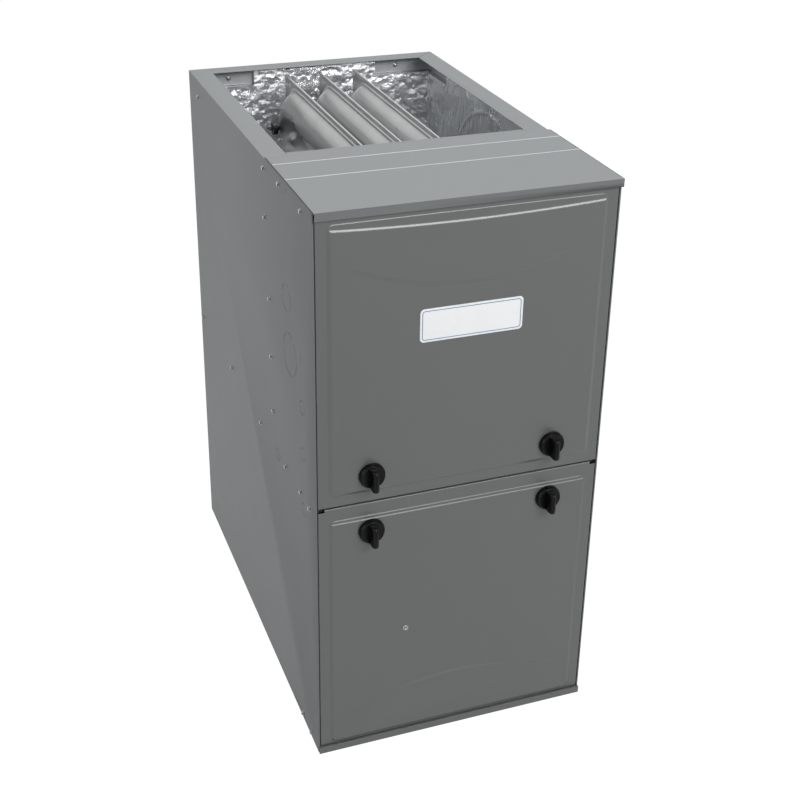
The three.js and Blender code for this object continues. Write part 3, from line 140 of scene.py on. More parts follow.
SOCKETS = {
    "float": "NodeSocketFloat",
    "colour": "NodeSocketColor",
    "vector": "NodeSocketVector",
    "geometry": "NodeSocketGeometry",
    "material": "NodeSocketMaterial",
    "int": "NodeSocketInt",
}


def new_group(name, kind, inputs, outputs):
    """A node group with named sockets; returns the tree, its input node and its output node."""
    tree = bpy.data.node_groups.new(name, kind)
    for label, (what, value) in inputs.items():
        socket = tree.interface.new_socket(label, in_out="INPUT", socket_type=SOCKETS[what])
        if value is not None:
            socket.default_value = value
    for label, what in outputs.items():
        tree.interface.new_socket(label, in_out="OUTPUT", socket_type=SOCKETS[what])
    return tree, tree.nodes.new("NodeGroupInput"), tree.nodes.new("NodeGroupOutput")


# %% [markdown]
# ## Floor, world and lamps
# The photograph is a product shot on white. A pale floor keeps a soft shadow under the cabinet,
# and a share of plain white for camera rays takes it up to the photograph's white without adding
# light to the object. A large lamp overhead makes the top the brightest face, and one on the left
# lights the side. A wide low one in front on the right is where the doors' pressings, which lean
# up a little, find their bright lines.

# %% Floor and world
WHITE_SHARE, WHITE_LEVEL = 0.86, 1.15  # how much plain white the viewer sees on the floor


def direct_rays(tree):
    """1 for rays from the camera, off metal or through glass, and 0 for the rest."""
    path = add(tree, "ShaderNodeLightPath")
    seen = path.outputs["Is Camera Ray"]
    for flag in ("Is Glossy Ray", "Is Transmission Ray"):
        seen = add(tree, "ShaderNodeMath", {0: seen, 1: path.outputs[flag]},
                   operation="MAXIMUM").outputs[0]
    return seen


floor_paint = bpy.data.materials.new("floor_paint")
floor_paint.use_nodes = True
tree = floor_paint.node_tree
tree.nodes.clear()
pale = add(tree, "ShaderNodeBsdfDiffuse", {"Color": (0.46, 0.46, 0.465, 1)})
part = add(tree, "ShaderNodeMath", {0: direct_rays(tree), 1: WHITE_SHARE}, operation="MULTIPLY")
white = add(tree, "ShaderNodeEmission", {"Color": (1, 1, 1, 1), "Strength": WHITE_LEVEL})
mixed = add(tree, "ShaderNodeMixShader", {0: part.outputs[0], 1: pale.outputs[0], 2: white.outputs[0]})
add(tree, "ShaderNodeOutputMaterial", {"Surface": mixed.outputs[0]})

floor_mesh = bpy.data.meshes.new("floor")
reach = 6.0
corners = [(-reach, -reach, 0), (reach, -reach, 0), (reach, reach, 0), (-reach, reach, 0)]
floor_mesh.from_pydata(corners, [], [(0, 1, 2, 3)])
floor = bpy.data.objects.new("floor", floor_mesh)
floor_mesh.materials.append(floor_paint)
bpy.context.scene.collection.objects.link(floor)

world = bpy.data.worlds.new("studio")
bpy.context.scene.world = world
world.use_nodes = True
tree = world.node_tree
tree.nodes.clear()
fill = add(tree, "ShaderNodeBackground", {"Color": (0.97, 0.985, 1.0, 1), "Strength": 0.12})
plain = add(tree, "ShaderNodeBackground", {"Color": (1, 1, 1, 1), "Strength": 1.0})
both = add(tree, "ShaderNodeMixShader", {0: direct_rays(tree), 1: fill.outputs[0], 2: plain.outputs[0]})
add(tree, "ShaderNodeOutputWorld", {"Surface": both.outputs[0]})
print("floor and world made")

# %% Lamps
LAMP_AIM = Vector((0, 0, 0.5))


def soft_lamp(name, place, size, power):
    """A rectangular area lamp that looks at the middle of the object."""
    data = bpy.data.lights.new(name, "AREA")
    data.shape, data.size, data.size_y, data.energy = "RECTANGLE", size[0], size[1], power
    lamp = bpy.data.objects.new(name, data)
    facing = (LAMP_AIM - Vector(place)).to_track_quat("-Z", "Y").to_matrix().to_4x4()
    lamp.matrix_world = Matrix.Translation(place) @ facing
    bpy.context.scene.collection.objects.link(lamp)


soft_lamp("overhead_softbox", (0.1, 0.3, 3.2), (1.4, 1.4), 62)
soft_lamp("front_top_softbox", (0.75, -2.6, 2.3), (2.2, 0.8), 66)
soft_lamp("left_softbox", (-3.2, -0.2, 1.7), (2.4, 2.2), 31)

# %% [markdown]
# ## Shader groups
# Real surfaces are never one even colour. A few effects come back in many finishes, so each is a
# node group with named inputs: mottling (slow changes of colour), smudges (changes of gloss),
# grain (fine scratches along one axis), spangle (the crystal patches of hot dip zinc), peel (the
# fine orange peel of sprayed enamel) and crinkle (the creases of foil).

# %% Mottle and smudge groups
def noise_node(tree, scale, detail=3.0, source=None):
    place = source or add(tree, "ShaderNodeTexCoord").outputs["Object"]
    return add(tree, "ShaderNodeTexNoise", {"Vector": place, "Scale": scale, "Detail": detail})


def around(tree, value, level, spread, low=0.3, high=0.7):
    """Maps a value between low and high to a level, less or more by a spread."""
    ends = [add(tree, "ShaderNodeMath", {0: level, 1: spread}, operation=way).outputs[0]
            for way in ("SUBTRACT", "ADD")]
    return add(tree, "ShaderNodeMapRange", {"Value": value, "From Min": low, "From Max": high,
                                            "To Min": ends[0], "To Max": ends[1]}).outputs[0]


mottle, inside, outside = new_group(
    "mottle", "ShaderNodeTree",
    {"Colour": ("colour", (0.5, 0.5, 0.5, 1)), "Scale": ("float", 6.0), "Spread": ("float", 0.06)},
    {"Colour": "colour"},
)
cloud = noise_node(mottle, inside.outputs["Scale"])
gain = around(mottle, cloud.outputs["Fac"], 1.0, inside.outputs["Spread"])
scaled = add(mottle, "ShaderNodeVectorMath", {0: inside.outputs["Colour"], 3: gain}, operation="SCALE")
mottle.links.new(scaled.outputs[0], outside.inputs["Colour"])

smudge, inside, outside = new_group(
    "smudge", "ShaderNodeTree",
    {"Level": ("float", 0.4), "Spread": ("float", 0.05), "Scale": ("float", 12.0)},
    {"Roughness": "float"},
)
cloud = noise_node(smudge, inside.outputs["Scale"], 4.0)
gain = around(smudge, cloud.outputs["Fac"], inside.outputs["Level"], inside.outputs["Spread"])
smudge.links.new(gain, outside.inputs["Roughness"])
print("groups:", [g.name for g in bpy.data.node_groups])

# %% Spangle, peel and crinkle groups
spangle, inside, outside = new_group(
    "spangle", "ShaderNodeTree",
    {"Colour": ("colour", (0.5, 0.5, 0.5, 1)), "Scale": ("float", 90.0), "Spread": ("float", 0.1)},
    {"Colour": "colour", "Tone": "float"},
)
crystals = add(spangle, "ShaderNodeTexVoronoi", {
    "Vector": add(spangle, "ShaderNodeTexCoord").outputs["Object"],
    "Scale": inside.outputs["Scale"],
})
tone = add(spangle, "ShaderNodeSeparateColor", {0: crystals.outputs["Color"]})
gain = around(spangle, tone.outputs[0], 1.0, inside.outputs["Spread"], 0.0, 1.0)
scaled = add(spangle, "ShaderNodeVectorMath", {0: inside.outputs["Colour"], 3: gain}, operation="SCALE")
spangle.links.new(scaled.outputs[0], outside.inputs["Colour"])
spangle.links.new(tone.outputs[1], outside.inputs["Tone"])

peel, inside, outside = new_group(
    "peel", "ShaderNodeTree",
    {"Fine scale": ("float", 900.0), "Wave scale": ("float", 7.0), "Waves": ("float", 0.5)},
    {"Height": "float"},
)
fine = noise_node(peel, inside.outputs["Fine scale"], 2.0)
wave = noise_node(peel, inside.outputs["Wave scale"], 1.0)
tall = add(peel, "ShaderNodeMath", {0: wave.outputs["Fac"], 1: inside.outputs["Waves"]},
           operation="MULTIPLY")
total = add(peel, "ShaderNodeMath", {0: fine.outputs["Fac"], 1: tall.outputs[0]}, operation="ADD")
peel.links.new(total.outputs[0], outside.inputs["Height"])

grain, inside, outside = new_group(
    "grain", "ShaderNodeTree",
    {"Scale": ("float", 300.0), "Stretch": ("vector", (1.0, 0.04, 1.0))},
    {"Height": "float"},
)
where = add(grain, "ShaderNodeVectorMath", {
    0: add(grain, "ShaderNodeTexCoord").outputs["Object"], 1: inside.outputs["Stretch"],
}, operation="MULTIPLY")
lines = noise_node(grain, inside.outputs["Scale"], 2.0, source=where.outputs[0])
grain.links.new(lines.outputs["Fac"], outside.inputs["Height"])

crinkle, inside, outside = new_group(
    "crinkle", "ShaderNodeTree",
    {"Scale": ("float", 60.0), "Stretch": ("vector", (1.0, 1.0, 1.0))},
    {"Height": "float"},
)
where = add(crinkle, "ShaderNodeVectorMath", {
    0: add(crinkle, "ShaderNodeTexCoord").outputs["Object"], 1: inside.outputs["Stretch"],
}, operation="MULTIPLY")
bend = noise_node(crinkle, inside.outputs["Scale"], 2.0, source=where.outputs[0])
pushed = add(crinkle, "ShaderNodeVectorMath", {0: bend.outputs["Color"], 3: 0.03}, operation="SCALE")
moved = add(crinkle, "ShaderNodeVectorMath", {0: where.outputs[0], 1: pushed.outputs[0]},
            operation="ADD")
folds = add(crinkle, "ShaderNodeTexVoronoi", {"Vector": moved.outputs[0],
                                              "Scale": inside.outputs["Scale"]})
small = add(crinkle, "ShaderNodeMath", {0: inside.outputs["Scale"], 1: 3.3}, operation="MULTIPLY")
flakes = add(crinkle, "ShaderNodeTexVoronoi", {"Vector": moved.outputs[0], "Scale": small.outputs[0]})
part = add(crinkle, "ShaderNodeMath", {0: flakes.outputs["Distance"], 1: 0.35}, operation="MULTIPLY")
total = add(crinkle, "ShaderNodeMath", {0: folds.outputs["Distance"], 1: part.outputs[0]},
            operation="ADD")
crinkle.links.new(total.outputs[0], outside.inputs["Height"])
print("groups:", [g.name for g in bpy.data.node_groups])

# %% [markdown]
# ## Finishes
# Each finish is one material with its own shader. The colour comes from mottle or spangle, the
# gloss from smudge, and the small relief from peel, grain or crinkle through a Bump node. Values
# that are the same all over, such as Metallic, are set on the shader's own sockets.

# %% Finish recipe
finishes = {}


def finish(name, code, gloss, metal=0.0, spread=0.05, scale=6.0, relief="peel", lift=0.02,
           spangled=False, gloss_spread=0.05, shine=0.5, relief_inputs=None):
    """A material: written colour, roughness, metalness, and the relief group and its height in mm."""
    material = bpy.data.materials.new(name)
    material.use_nodes = True
    tree = material.node_tree
    tree.nodes.clear()
    tint = add(tree, "ShaderNodeGroup", node_tree=spangle if spangled else mottle)
    for label, value in (("Colour", colour(code)), ("Scale", scale), ("Spread", spread)):
        tint.inputs[label].default_value = value
    rough = add(tree, "ShaderNodeGroup", node_tree=smudge)
    rough.inputs["Level"].default_value = gloss
    rough.inputs["Spread"].default_value = gloss_spread
    bumps = add(tree, "ShaderNodeGroup", node_tree=bpy.data.node_groups[relief])
    for label, value in (relief_inputs or {}).items():
        bumps.inputs[label].default_value = value
    bump = add(tree, "ShaderNodeBump", {"Height": bumps.outputs["Height"], "Strength": 1.0,
                                        "Distance": lift / 1000})
    shader = add(tree, "ShaderNodeBsdfPrincipled", {
        "Base Color": tint.outputs["Colour"], "Roughness": rough.outputs["Roughness"],
        "Metallic": metal, "Normal": bump.outputs["Normal"], "Specular IOR Level": shine,
    })
    add(tree, "ShaderNodeOutputMaterial", {"Surface": shader.outputs[0]})
    finishes[name] = material


# %% The finishes
finish("cabinet_enamel", 0x727576, 0.55, 0.0, 0.010, 2.0, lift=0.008, shine=0.35,
       gloss_spread=0.01, relief_inputs={"Waves": 0.0})
finish("door_enamel", 0x595c5a, 0.32, 0.0, 0.010, 2.0, lift=0.008, shine=0.8,
       gloss_spread=0.01, relief_inputs={"Waves": 0.0})
# painted light: the brackets' grey is made much lighter than the cabinet's, for the little light deep in
# the duct
finish("bracket_enamel_with_painted_light", 0xb4b7b8, 0.4, 0.2, 0.02, 8.0, lift=0.008, gloss_spread=0.02)
# painted highlight: the beads get a lighter paint than the plate, standing in for the highlight along each
# bead
finish("bead_painted_highlight", 0x9ea2a3, 0.5, 0.0, 0.01, 8.0, lift=0.008, gloss_spread=0.02)
finish("galvanised_steel", 0xb0b4b6, 0.42, 0.6, 0.08, 95.0, lift=0.006, spangled=True,
       gloss_spread=0.08)
finish("aluminised_steel", 0xa6a8a8, 0.33, 0.75, 0.08, 16.0, relief="grain", lift=0.02,
       relief_inputs={"Scale": 420.0, "Stretch": (1.0, 1.0, 0.06)}, gloss_spread=0.08)
finish("wall_foil", 0xe6e8ea, 0.3, 0.85, 0.05, 20.0, relief="crinkle", lift=0.7,
       relief_inputs={"Scale": 150.0, "Stretch": (1.0, 1.0, 0.6)}, gloss_spread=0.08)
finish("streaked_foil", 0xe6e8ea, 0.3, 0.85, 0.05, 20.0, relief="crinkle", lift=0.6,
       relief_inputs={"Scale": 130.0, "Stretch": (1.0, 1.0, 0.16)}, gloss_spread=0.08)
finish("stainless_steel", 0xc0c2c3, 0.3, 0.8, 0.05, 10.0, relief="grain", lift=0.006)
finish("black_gloss_plastic", 0x060607, 0.28, 0.0, 0.12, 40.0, lift=0.006, shine=0.15)
finish("black_plastic", 0x121213, 0.45, 0.0, 0.12, 30.0, lift=0.02, shine=0.3)
finish("grey_plastic", 0x8d8f90, 0.48, 0.0, 0.05, 20.0, lift=0.02)
finish("white_enamel_plate", 0xfbfcfd, 0.26, 0.0, 0.008, 20.0, lift=0.003)
finish("border_blue", 0x4f86b4, 0.35, 0.0, 0.05, 60.0, lift=0.003)
finish("zinc_plate", 0xa2a4a5, 0.26, 0.95, 0.08, 160.0, lift=0.004)
finish("motor_enamel", 0x1b1c1e, 0.42, 0.2, 0.10, 20.0, lift=0.02)
finish("amber_tape", 0xb8862e, 0.4, 0.0, 0.08, 50.0, lift=0.01)
finish("blue_sleeve", 0x244a86, 0.4, 0.0, 0.06, 60.0, lift=0.01)
finish("brass", 0xc2a04e, 0.3, 0.9, 0.06, 90.0, lift=0.01)
finish("cast_metal", 0x8f9294, 0.5, 0.7, 0.08, 60.0, lift=0.05)
finish("black_iron", 0x2a2a2c, 0.55, 0.5, 0.12, 30.0, lift=0.05)
finish("red_plastic", 0xa8201a, 0.42, 0.0, 0.05, 60.0, lift=0.01)
finish("board_laminate", 0x1f5a38, 0.42, 0.0, 0.10, 120.0, lift=0.01)
finish("ceramic", 0xe4e0d4, 0.8, 0.0, 0.05, 60.0, lift=0.06)
finish("rubber", 0x1c1c1e, 0.7, 0.0, 0.12, 40.0, lift=0.03)
finish("white_pipe", 0xe6e6e2, 0.38, 0.0, 0.02, 15.0, lift=0.01)
finish("mineral_fibre", 0x3a3a3c, 0.95, 0.0, 0.25, 60.0, lift=0.5)
print("finishes:", len(finishes))

# %% [markdown]
# ## Solids in code
# Pieces are lists of points in cabinet millimetres and lists of faces. The helpers below make a
# block, a piece turned about an axis and a loft through rings of points, cut or join solids with
# Boolean modifiers, soften edges with a Bevel, and hand a finished piece to the frame.

# %% Solid helpers
def make(name, *shapes):
    """One object from closed shapes, each a pair of points in millimetres and faces."""
    points, faces = [], []
    for shape_points, shape_faces in shapes:
        start = len(points)
        points += [spot(*p) for p in shape_points]
        faces += [tuple(start + n for n in face) for face in shape_faces]
    mesh = bpy.data.meshes.new(name)
    mesh.from_pydata(points, [], faces)
    mesh.update()
    piece = bpy.data.objects.new(name, mesh)
    bpy.context.scene.collection.objects.link(piece)
    return piece


def block(xa, xb, ya, yb, za, zb):
    (xa, xb), (ya, yb), (za, zb) = sorted((xa, xb)), sorted((ya, yb)), sorted((za, zb))
    points = [(x, y, z) for x in (xa, xb) for y in (ya, yb) for z in (za, zb)]
    faces = [(0, 1, 3, 2), (4, 6, 7, 5), (0, 4, 5, 1), (2, 3, 7, 6), (0, 2, 6, 4), (1, 5, 7, 3)]
    return points, faces


def loft(rings):
    """A closed solid through rings of equally many points, with a flat face at each end."""
    count = len(rings[0])
    points = [p for ring in rings for p in ring]
    faces = [tuple(range(count))[::-1]]
    for r in range(len(rings) - 1):
        for n in range(count):
            a, b = r * count + n, r * count + (n + 1) % count
            faces.append((a, b, b + count, a + count))
    last = (len(rings) - 1) * count
    faces.append(tuple(range(last, last + count)))
    return points, faces


def turned(axis, profile, centre=(0, 0), sides=48):
    """A closed solid turned about an axis from pairs of radius and place along it."""
    u, v = centre
    rings = []
    for radius, along in profile:
        ring = []
        for n in range(sides):
            a = 2 * math.pi * n / sides
            p, q = radius * math.cos(a), radius * math.sin(a)
            ring.append({"x": (along, u + p, v + q), "y": (u + q, along, v + p),
                         "z": (u + p, v + q, along)}[axis])
        rings.append(ring)
    return loft(rings)


def rod(axis, radius, start, end, centre, sides=48):
    return turned(axis, [(radius, start), (radius, end)], centre, sides)


def outward(piece):
    """Merges doubles and turns every face outwards."""
    work = bmesh.new()
    work.from_mesh(piece.data)
    bmesh.ops.remove_doubles(work, verts=work.verts, dist=1e-6)
    bmesh.ops.recalc_face_normals(work, faces=work.faces)
    work.to_mesh(piece.data)
    work.free()
    return piece


def settle(piece):
    """Makes the modifiers' result the piece's own mesh."""
    graph = bpy.context.evaluated_depsgraph_get()
    mesh = bpy.data.meshes.new_from_object(piece.evaluated_get(graph))
    piece.modifiers.clear()
    piece.data = mesh
    return piece


def combine(piece, tool, how="DIFFERENCE"):
    """Cuts a tool from a piece, or joins it on, and takes the tool away."""
    outward(tool)
    before = len(piece.data.vertices)
    change = piece.modifiers.new("combine", "BOOLEAN")
    change.operation, change.object, change.solver = how, tool, "EXACT"
    settle(piece)
    bpy.data.objects.remove(tool)
    print(f"  {how.lower()} on {piece.name}: {before} to {len(piece.data.vertices)} points")
    return piece


def smooth(piece, angle=38):
    """Smooth shading, with edges sharper than the angle kept."""
    piece.data.polygons.foreach_set("use_smooth", [True] * len(piece.data.polygons))
    piece.data.set_sharp_from_angle(angle=math.radians(angle))
    return piece


def soften(piece, width=0.4, segments=2, angle=38):
    """Rounds the edges by a width in millimetres."""
    bevel = piece.modifiers.new("soften", "BEVEL")
    bevel.width, bevel.segments, bevel.limit_method = width / 1000, segments, "ANGLE"
    bevel.angle_limit, bevel.use_clamp_overlap = math.radians(angle), True
    settle(piece)
    smooth(piece, angle)
    even = piece.modifiers.new("even", "WEIGHTED_NORMAL")
    even.keep_sharp = True
    return settle(piece)


def tidy(piece, angle=0.4):
    """Merges a copy of a CAD mesh and dissolves the edges between coplanar faces."""
    work = bmesh.new()
    work.from_mesh(piece.data)
    bmesh.ops.remove_doubles(work, verts=work.verts, dist=2e-6)
    bmesh.ops.dissolve_limit(work, angle_limit=math.radians(angle), verts=work.verts, edges=work.edges)
    work.to_mesh(piece.data)
    work.free()
    return piece


def hand_over(piece, look, node):
    """Gives a finished piece its finish and the body of the CAD node it stands for, and hides that node.
    """
    if not piece.data.materials:
        piece.data.materials.append(finishes[look])
    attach(piece, nodes[node]["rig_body"])
    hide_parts(node)
    return piece


# %% [markdown]
# ## Cabinet casing
# The real casing is one sheet of steel wrapped round three sides, with hems along the front edges
# and flanges turned in round the supply opening. It is drawn as thin blocks that are joined into
# one solid, because a Boolean union keeps the wall 1 mm thick everywhere. Softened edges stand for
# the bend radius. Knockouts for pipes and cables are rings of narrow slit with small ties.

# %% Casing
SLIT_WIDTH, SLIT_DEPTH = 0.9, 0.45
TIES, TIE_SHARE, ARC_STEPS = 3, 0.06, 14  # ties round a slit, half of each tie's share, points an arc


def ring_slit(y, z, radius, side):
    """A knockout's slit: arcs with ties between them, cut into a side wall."""
    arcs = []
    surface, floor_x = side * (HALF + 1), side * (HALF - SLIT_DEPTH)
    section = ((radius - SLIT_WIDTH, surface), (radius, surface), (radius, floor_x),
               (radius - SLIT_WIDTH, floor_x))
    for tie in range(TIES):
        first = 2 * math.pi * (tie + TIE_SHARE) / TIES
        last = 2 * math.pi * (tie + 1 - TIE_SHARE) / TIES
        angles = [first + (last - first) * n / ARC_STEPS for n in range(ARC_STEPS + 1)]
        arcs.append(loft([[(x, y + r * math.cos(a), z + r * math.sin(a)) for r, x in section]
                          for a in angles]))
    return arcs


parts = [
    block(-HALF, HALF, DEPTH - SHEET, DEPTH, 0, HEIGHT),
    block(-HALF, HALF, DEPTH - 33, DEPTH, HEIGHT - SHEET, HEIGHT),
]
for side in (-1, 1):
    edge = side * HALF
    parts += [
        block(edge, side * (HALF - SHEET), 0, DEPTH, 0, HEIGHT),
        block(edge, side * (HALF - 2.2), 0, 14, 0, HEIGHT),
        block(edge, side * (HALF - 16), 14, 229, HEIGHT - SHEET, HEIGHT),
        block(edge, side * (HALF - 35.2), 228, DEPTH, HEIGHT - SHEET, HEIGHT),
    ]
casing = make("cabinet_casing", parts[0])
for part in parts[1:]:
    combine(casing, make("casing_part", part), "UNION")
tidy(casing)
soften(casing, 0.45)

KNOCKOUTS = [(130, 717, 21), (118, 634, 33), (60, 578, 11), (60, 502, 11), (198, 424, 11),
             (58, 410, 11)]  # y, z and radius
MARKS = [(122, 879, 0.9, 9), (92, 849, 0.9, 8), (96, 9.4, 54, 1.3), (62, 655, 0.8, 14)]  # y, z, size
slits = []
for side in (-1, 1):
    for y, z, radius in KNOCKOUTS:
        slits += ring_slit(y, z, radius, side)
for y, z, wide, tall in MARKS:
    slits.append(block(-HALF - 1, -HALF + 0.5, y - wide / 2, y + wide / 2, z - tall / 2, z + tall / 2))
slits.append(loft([
    [(187.6, 697.2, z), (188.2, 696.6, z), (HALF + 0.3, DEPTH - 0.1, z), (HALF - 0.3, DEPTH + 0.5, z)]
    for z in (HEIGHT - 0.5, HEIGHT + 1)
]))
combine(casing, make("casing_slits", *slits))
hand_over(casing, "cabinet_enamel", "casing_wrapper")
print("casing faces:", len(casing.data.polygons))

# %% [markdown]
# ## Top plate
# A separate painted plate covers the front of the top, from the supply opening to a lip that hangs
# over the doors. Two pressed beads run across it; they are low ridges in a lighter paint, which is a
# painted highlight along each bead. The lip's left corner is folded, not welded, and shows a slanted
# dark slot.

# %% Top plate
TOP = HEIGHT + 2.6
LIP_BOTTOM, LIP_FRONT, PLATE_REAR = TOP - 12, -6, 229
BEAD_YS, BEAD_HALF, BEAD_TALL = (194, 129), 1.3, 0.65
plate_parts = [
    block(-HALF, HALF, LIP_FRONT, PLATE_REAR, TOP - SHEET, TOP),
    block(-HALF, HALF, LIP_FRONT, LIP_FRONT + SHEET, LIP_BOTTOM, TOP),
    block(-HALF, HALF, PLATE_REAR - SHEET, PLATE_REAR, HEIGHT + FIT, TOP),
]
for side in (-1, 1):
    wall = side * HALF, side * (HALF - SHEET), LIP_FRONT
    plate_parts.append(block(*wall, PLATE_REAR, HEIGHT + FIT, TOP))
    plate_parts.append(block(*wall, -FIT, LIP_BOTTOM, TOP))
plate = make("top_cover", plate_parts[0])
for part in plate_parts[1:]:
    combine(plate, make("plate_part", part), "UNION")
slot_cut = [[(-HALF + 0.2, y, 890.6), (-HALF + 1.9, y, 890.6), (-HALF + 1.1, y, 879.6),
             (-HALF - 0.6, y, 879.6)] for y in (-7, -3.4)]
combine(plate, outward(make("corner_slot", loft(slot_cut))))
tidy(plate)
soften(plate, 0.45)
hand_over(plate, "cabinet_enamel", "top_plate")

half_turn = [math.pi * n / 8 for n in range(9)]
beads = outward(make("top_beads", *[loft([
    [(x, y + BEAD_HALF * math.cos(a), TOP - 0.1 + BEAD_TALL * math.sin(a)) for a in half_turn]
    for x in (-HALF + 1.2, HALF - 1.2)
]) for y in BEAD_YS]))
smooth(beads, 60)
# the lighter bead paint is a painted highlight along each bead
beads.data.materials.append(finishes["bead_painted_highlight"])
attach(beads, nodes["top_plate"]["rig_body"])

# %% [markdown]
# ## Doors
# Each door is a pan of folded sheet whose middle is pressed out a little. The pressing is a height
# over a fine grid: a soft step round the border, a thin crescent along the top and one faint crease,
# a smile on the upper door and an arch on the lower one. A height grid gives real soft shapes that
# catch the light, which a bump map would not. The grid's rim is folded back round a small bend, a
# Solidify gives the sheet its millimetre, and the knob and screw holes are cut through.

# %% Door grid helpers
DOOR_HALF = 219.05
DOOR_DEEP = 18.0
BEND, BEND_STEPS = 1.6, 4
COARSE, FINE_EDGE = 4.0, (24, 0.9)  # the grid's step, and the width and step of its fine sides
KNOB_X, UPPER_KNOB_Z, LOWER_KNOB_Z, KNOB_HOLE = 140, 488, 395, 6.5
SCREW_SPOT = (-84, 207)  # x and z of the lower door's screw


def grid_lines(low, high, step, fine=()):
    """Places from low to high, closer together inside each fine stretch."""
    places = [low]
    while places[-1] < high - 1e-6:
        here = places[-1]
        stride = min([step] + [f for a, b, f in fine if a <= here < b])
        places.append(min(here + stride, high))
    return np.array(places)


def grid_faces(wide, tall):
    """The faces of a grid of points that is filled row by row."""
    return [(n, n + 1, n + 1 + wide, n + wide)
            for j in range(tall - 1) for n in range(j * wide, (j + 1) * wide - 1)]


def grid_rim(wide, tall):
    """The numbers of the points round a grid's rim, counterclockwise from the first."""
    rim = list(range(wide)) + [j * wide + wide - 1 for j in range(1, tall)]
    rim += [(tall - 1) * wide + i for i in range(wide - 2, -1, -1)]
    return rim + [j * wide for j in range(tall - 2, 0, -1)]


def ramp(distance, width):
    """A soft step from 0 to 1 over a width."""
    t = np.clip(distance / width, 0, 1)
    return t * t * (3 - 2 * t)


def depth_inside(x, z, half_x, low, high, corner):
    """How far a point is inside a rounded rectangle."""
    over_x = np.abs(x) - (half_x - corner)
    over_z = np.abs(z - (low + high) / 2) - ((high - low) / 2 - corner)
    outside = np.hypot(np.maximum(over_x, 0), np.maximum(over_z, 0))
    return corner - outside - np.minimum(np.maximum(over_x, over_z), 0)


def door_pan(name, low, high, relief, fine_z):
    """A door's sheet: the pressed face, the bend and the folded edges, one millimetre thick."""
    edge = DOOR_HALF - BEND
    strip, close = FINE_EDGE
    xs = grid_lines(-edge, edge, COARSE, [(-edge, -edge + strip, close), (edge - strip, edge, close)])
    zs = grid_lines(low + BEND, high - BEND, COARSE, fine_z)
    wide, tall = len(xs), len(zs)
    across, up = np.meshgrid(xs, zs)
    height = relief(across, up)
    points = [(x, -h, z) for x, h, z in zip(across.ravel(), height.ravel(), up.ravel())]
    faces = grid_faces(wide, tall)
    rim = grid_rim(wide, tall)
    before = rim
    for step in range(1, BEND_STEPS + 2):
        angle = math.pi / 2 * min(step / BEND_STEPS, 1)
        out = BEND * math.sin(angle)
        drop = DOOR_DEEP if step > BEND_STEPS else BEND * (1 - math.cos(angle))
        start = len(points)
        for n in rim:
            side = (n % wide == wide - 1) - (n % wide == 0)
            rise = (n // wide == tall - 1) - (n // wide == 0)
            x, _, z = points[n]
            points.append((x + side * out, drop, z + rise * out))
        after = list(range(start, start + len(rim)))
        for k in range(len(rim)):
            m = (k + 1) % len(rim)
            faces.append((before[m], before[k], after[k], after[m]))
        before = after
    pan = make(name, (points, faces))
    wall = pan.modifiers.new("wall", "SOLIDIFY")
    wall.thickness, wall.offset, wall.use_even_offset = SHEET / 1000, -1.0, True
    settle(pan)
    return pan


def knob_holes(door, z):
    for x in (-KNOB_X, KNOB_X):
        combine(door, make("knob_hole", rod("y", KNOB_HOLE, -5, 5, (x, z), 32)))


# %% Upper door
def upper_relief(x, z):
    """How far the sheet stands out: border step, crescent under the top edge, and the smile."""
    border = depth_inside(x, z, 203.0, 460.0, 871.8, 9.0)
    arc = 859.5 + 6.0 * (x / 202) ** 2
    inner = np.minimum(border - 1.2, arc - z)
    share = np.clip((871.8 - z) / (871.8 - arc), 0, 1)
    total = ramp(border, 1.8) * (0.7 + 0.5 * share ** 2) + 1.75 * ramp(inner, 4.8)
    crease = z - (770 + 0.0013 * x ** 2)
    fade = np.clip(1 - (x / 186) ** 2, 0, 1)
    return total + 2.7 * fade ** 0.6 * ramp(crease + 5, 6.0) * (1 - ramp(crease - 3, 66))


upper_door = door_pan("upper_door_pan", 443.2, 878.6, upper_relief,
                      [(443, 470, 0.9), (755, 826, 1.3), (852, 879, 0.6)])
knob_holes(upper_door, UPPER_KNOB_Z)
smooth(upper_door, 40)
hand_over(upper_door, "door_enamel", "upper_door")
print("upper door faces:", len(upper_door.data.polygons))

# %% Lower door
def lower_relief(x, z):
    """How far the sheet stands out: border step, a second line along the top, and the arch."""
    border = depth_inside(x, z, 203.0, 16.0, 421.0, 9.0)
    inner = np.minimum(border - 1.2, 416.4 - z)
    total = 1.3 * ramp(border, 2.8) + 1.5 * ramp(inner, 3.2)
    crease = (104 - 0.00128 * x ** 2) - z
    fade = np.clip(1 - (x / 190) ** 2, 0, 1)
    return total + 2.7 * fade ** 0.6 * ramp(crease + 5, 6.5) * (1 - ramp(crease - 5, 60))


lower_door = door_pan("lower_door_pan", 11.8, 440.8, lower_relief,
                      [(11, 40, 0.9), (40, 120, 1.3), (408, 441, 0.6)])
knob_holes(lower_door, LOWER_KNOB_Z)
combine(lower_door, make("screw_hole", rod("y", 2.4, -5, 5, SCREW_SPOT, 24)))
NOTCH = DOOR_HALF - 10  # the upper corners are cut back from here, and closed by a small step
for side in (-1, 1):
    combine(lower_door, make("clip", block(side * NOTCH, side * 223, -5, 9, 436.8, 445)))
    step = make("step", *[block(side * (NOTCH - SHEET), side * DOOR_HALF, front, 9, 435.8, top_z)
                          for front, top_z in ((8, 440.8), (0.5, 436.8))])
    combine(lower_door, step, "UNION")
smooth(lower_door, 40)
hand_over(lower_door, "door_enamel", "lower_door")
print("lower door faces:", len(lower_door.data.polygons))

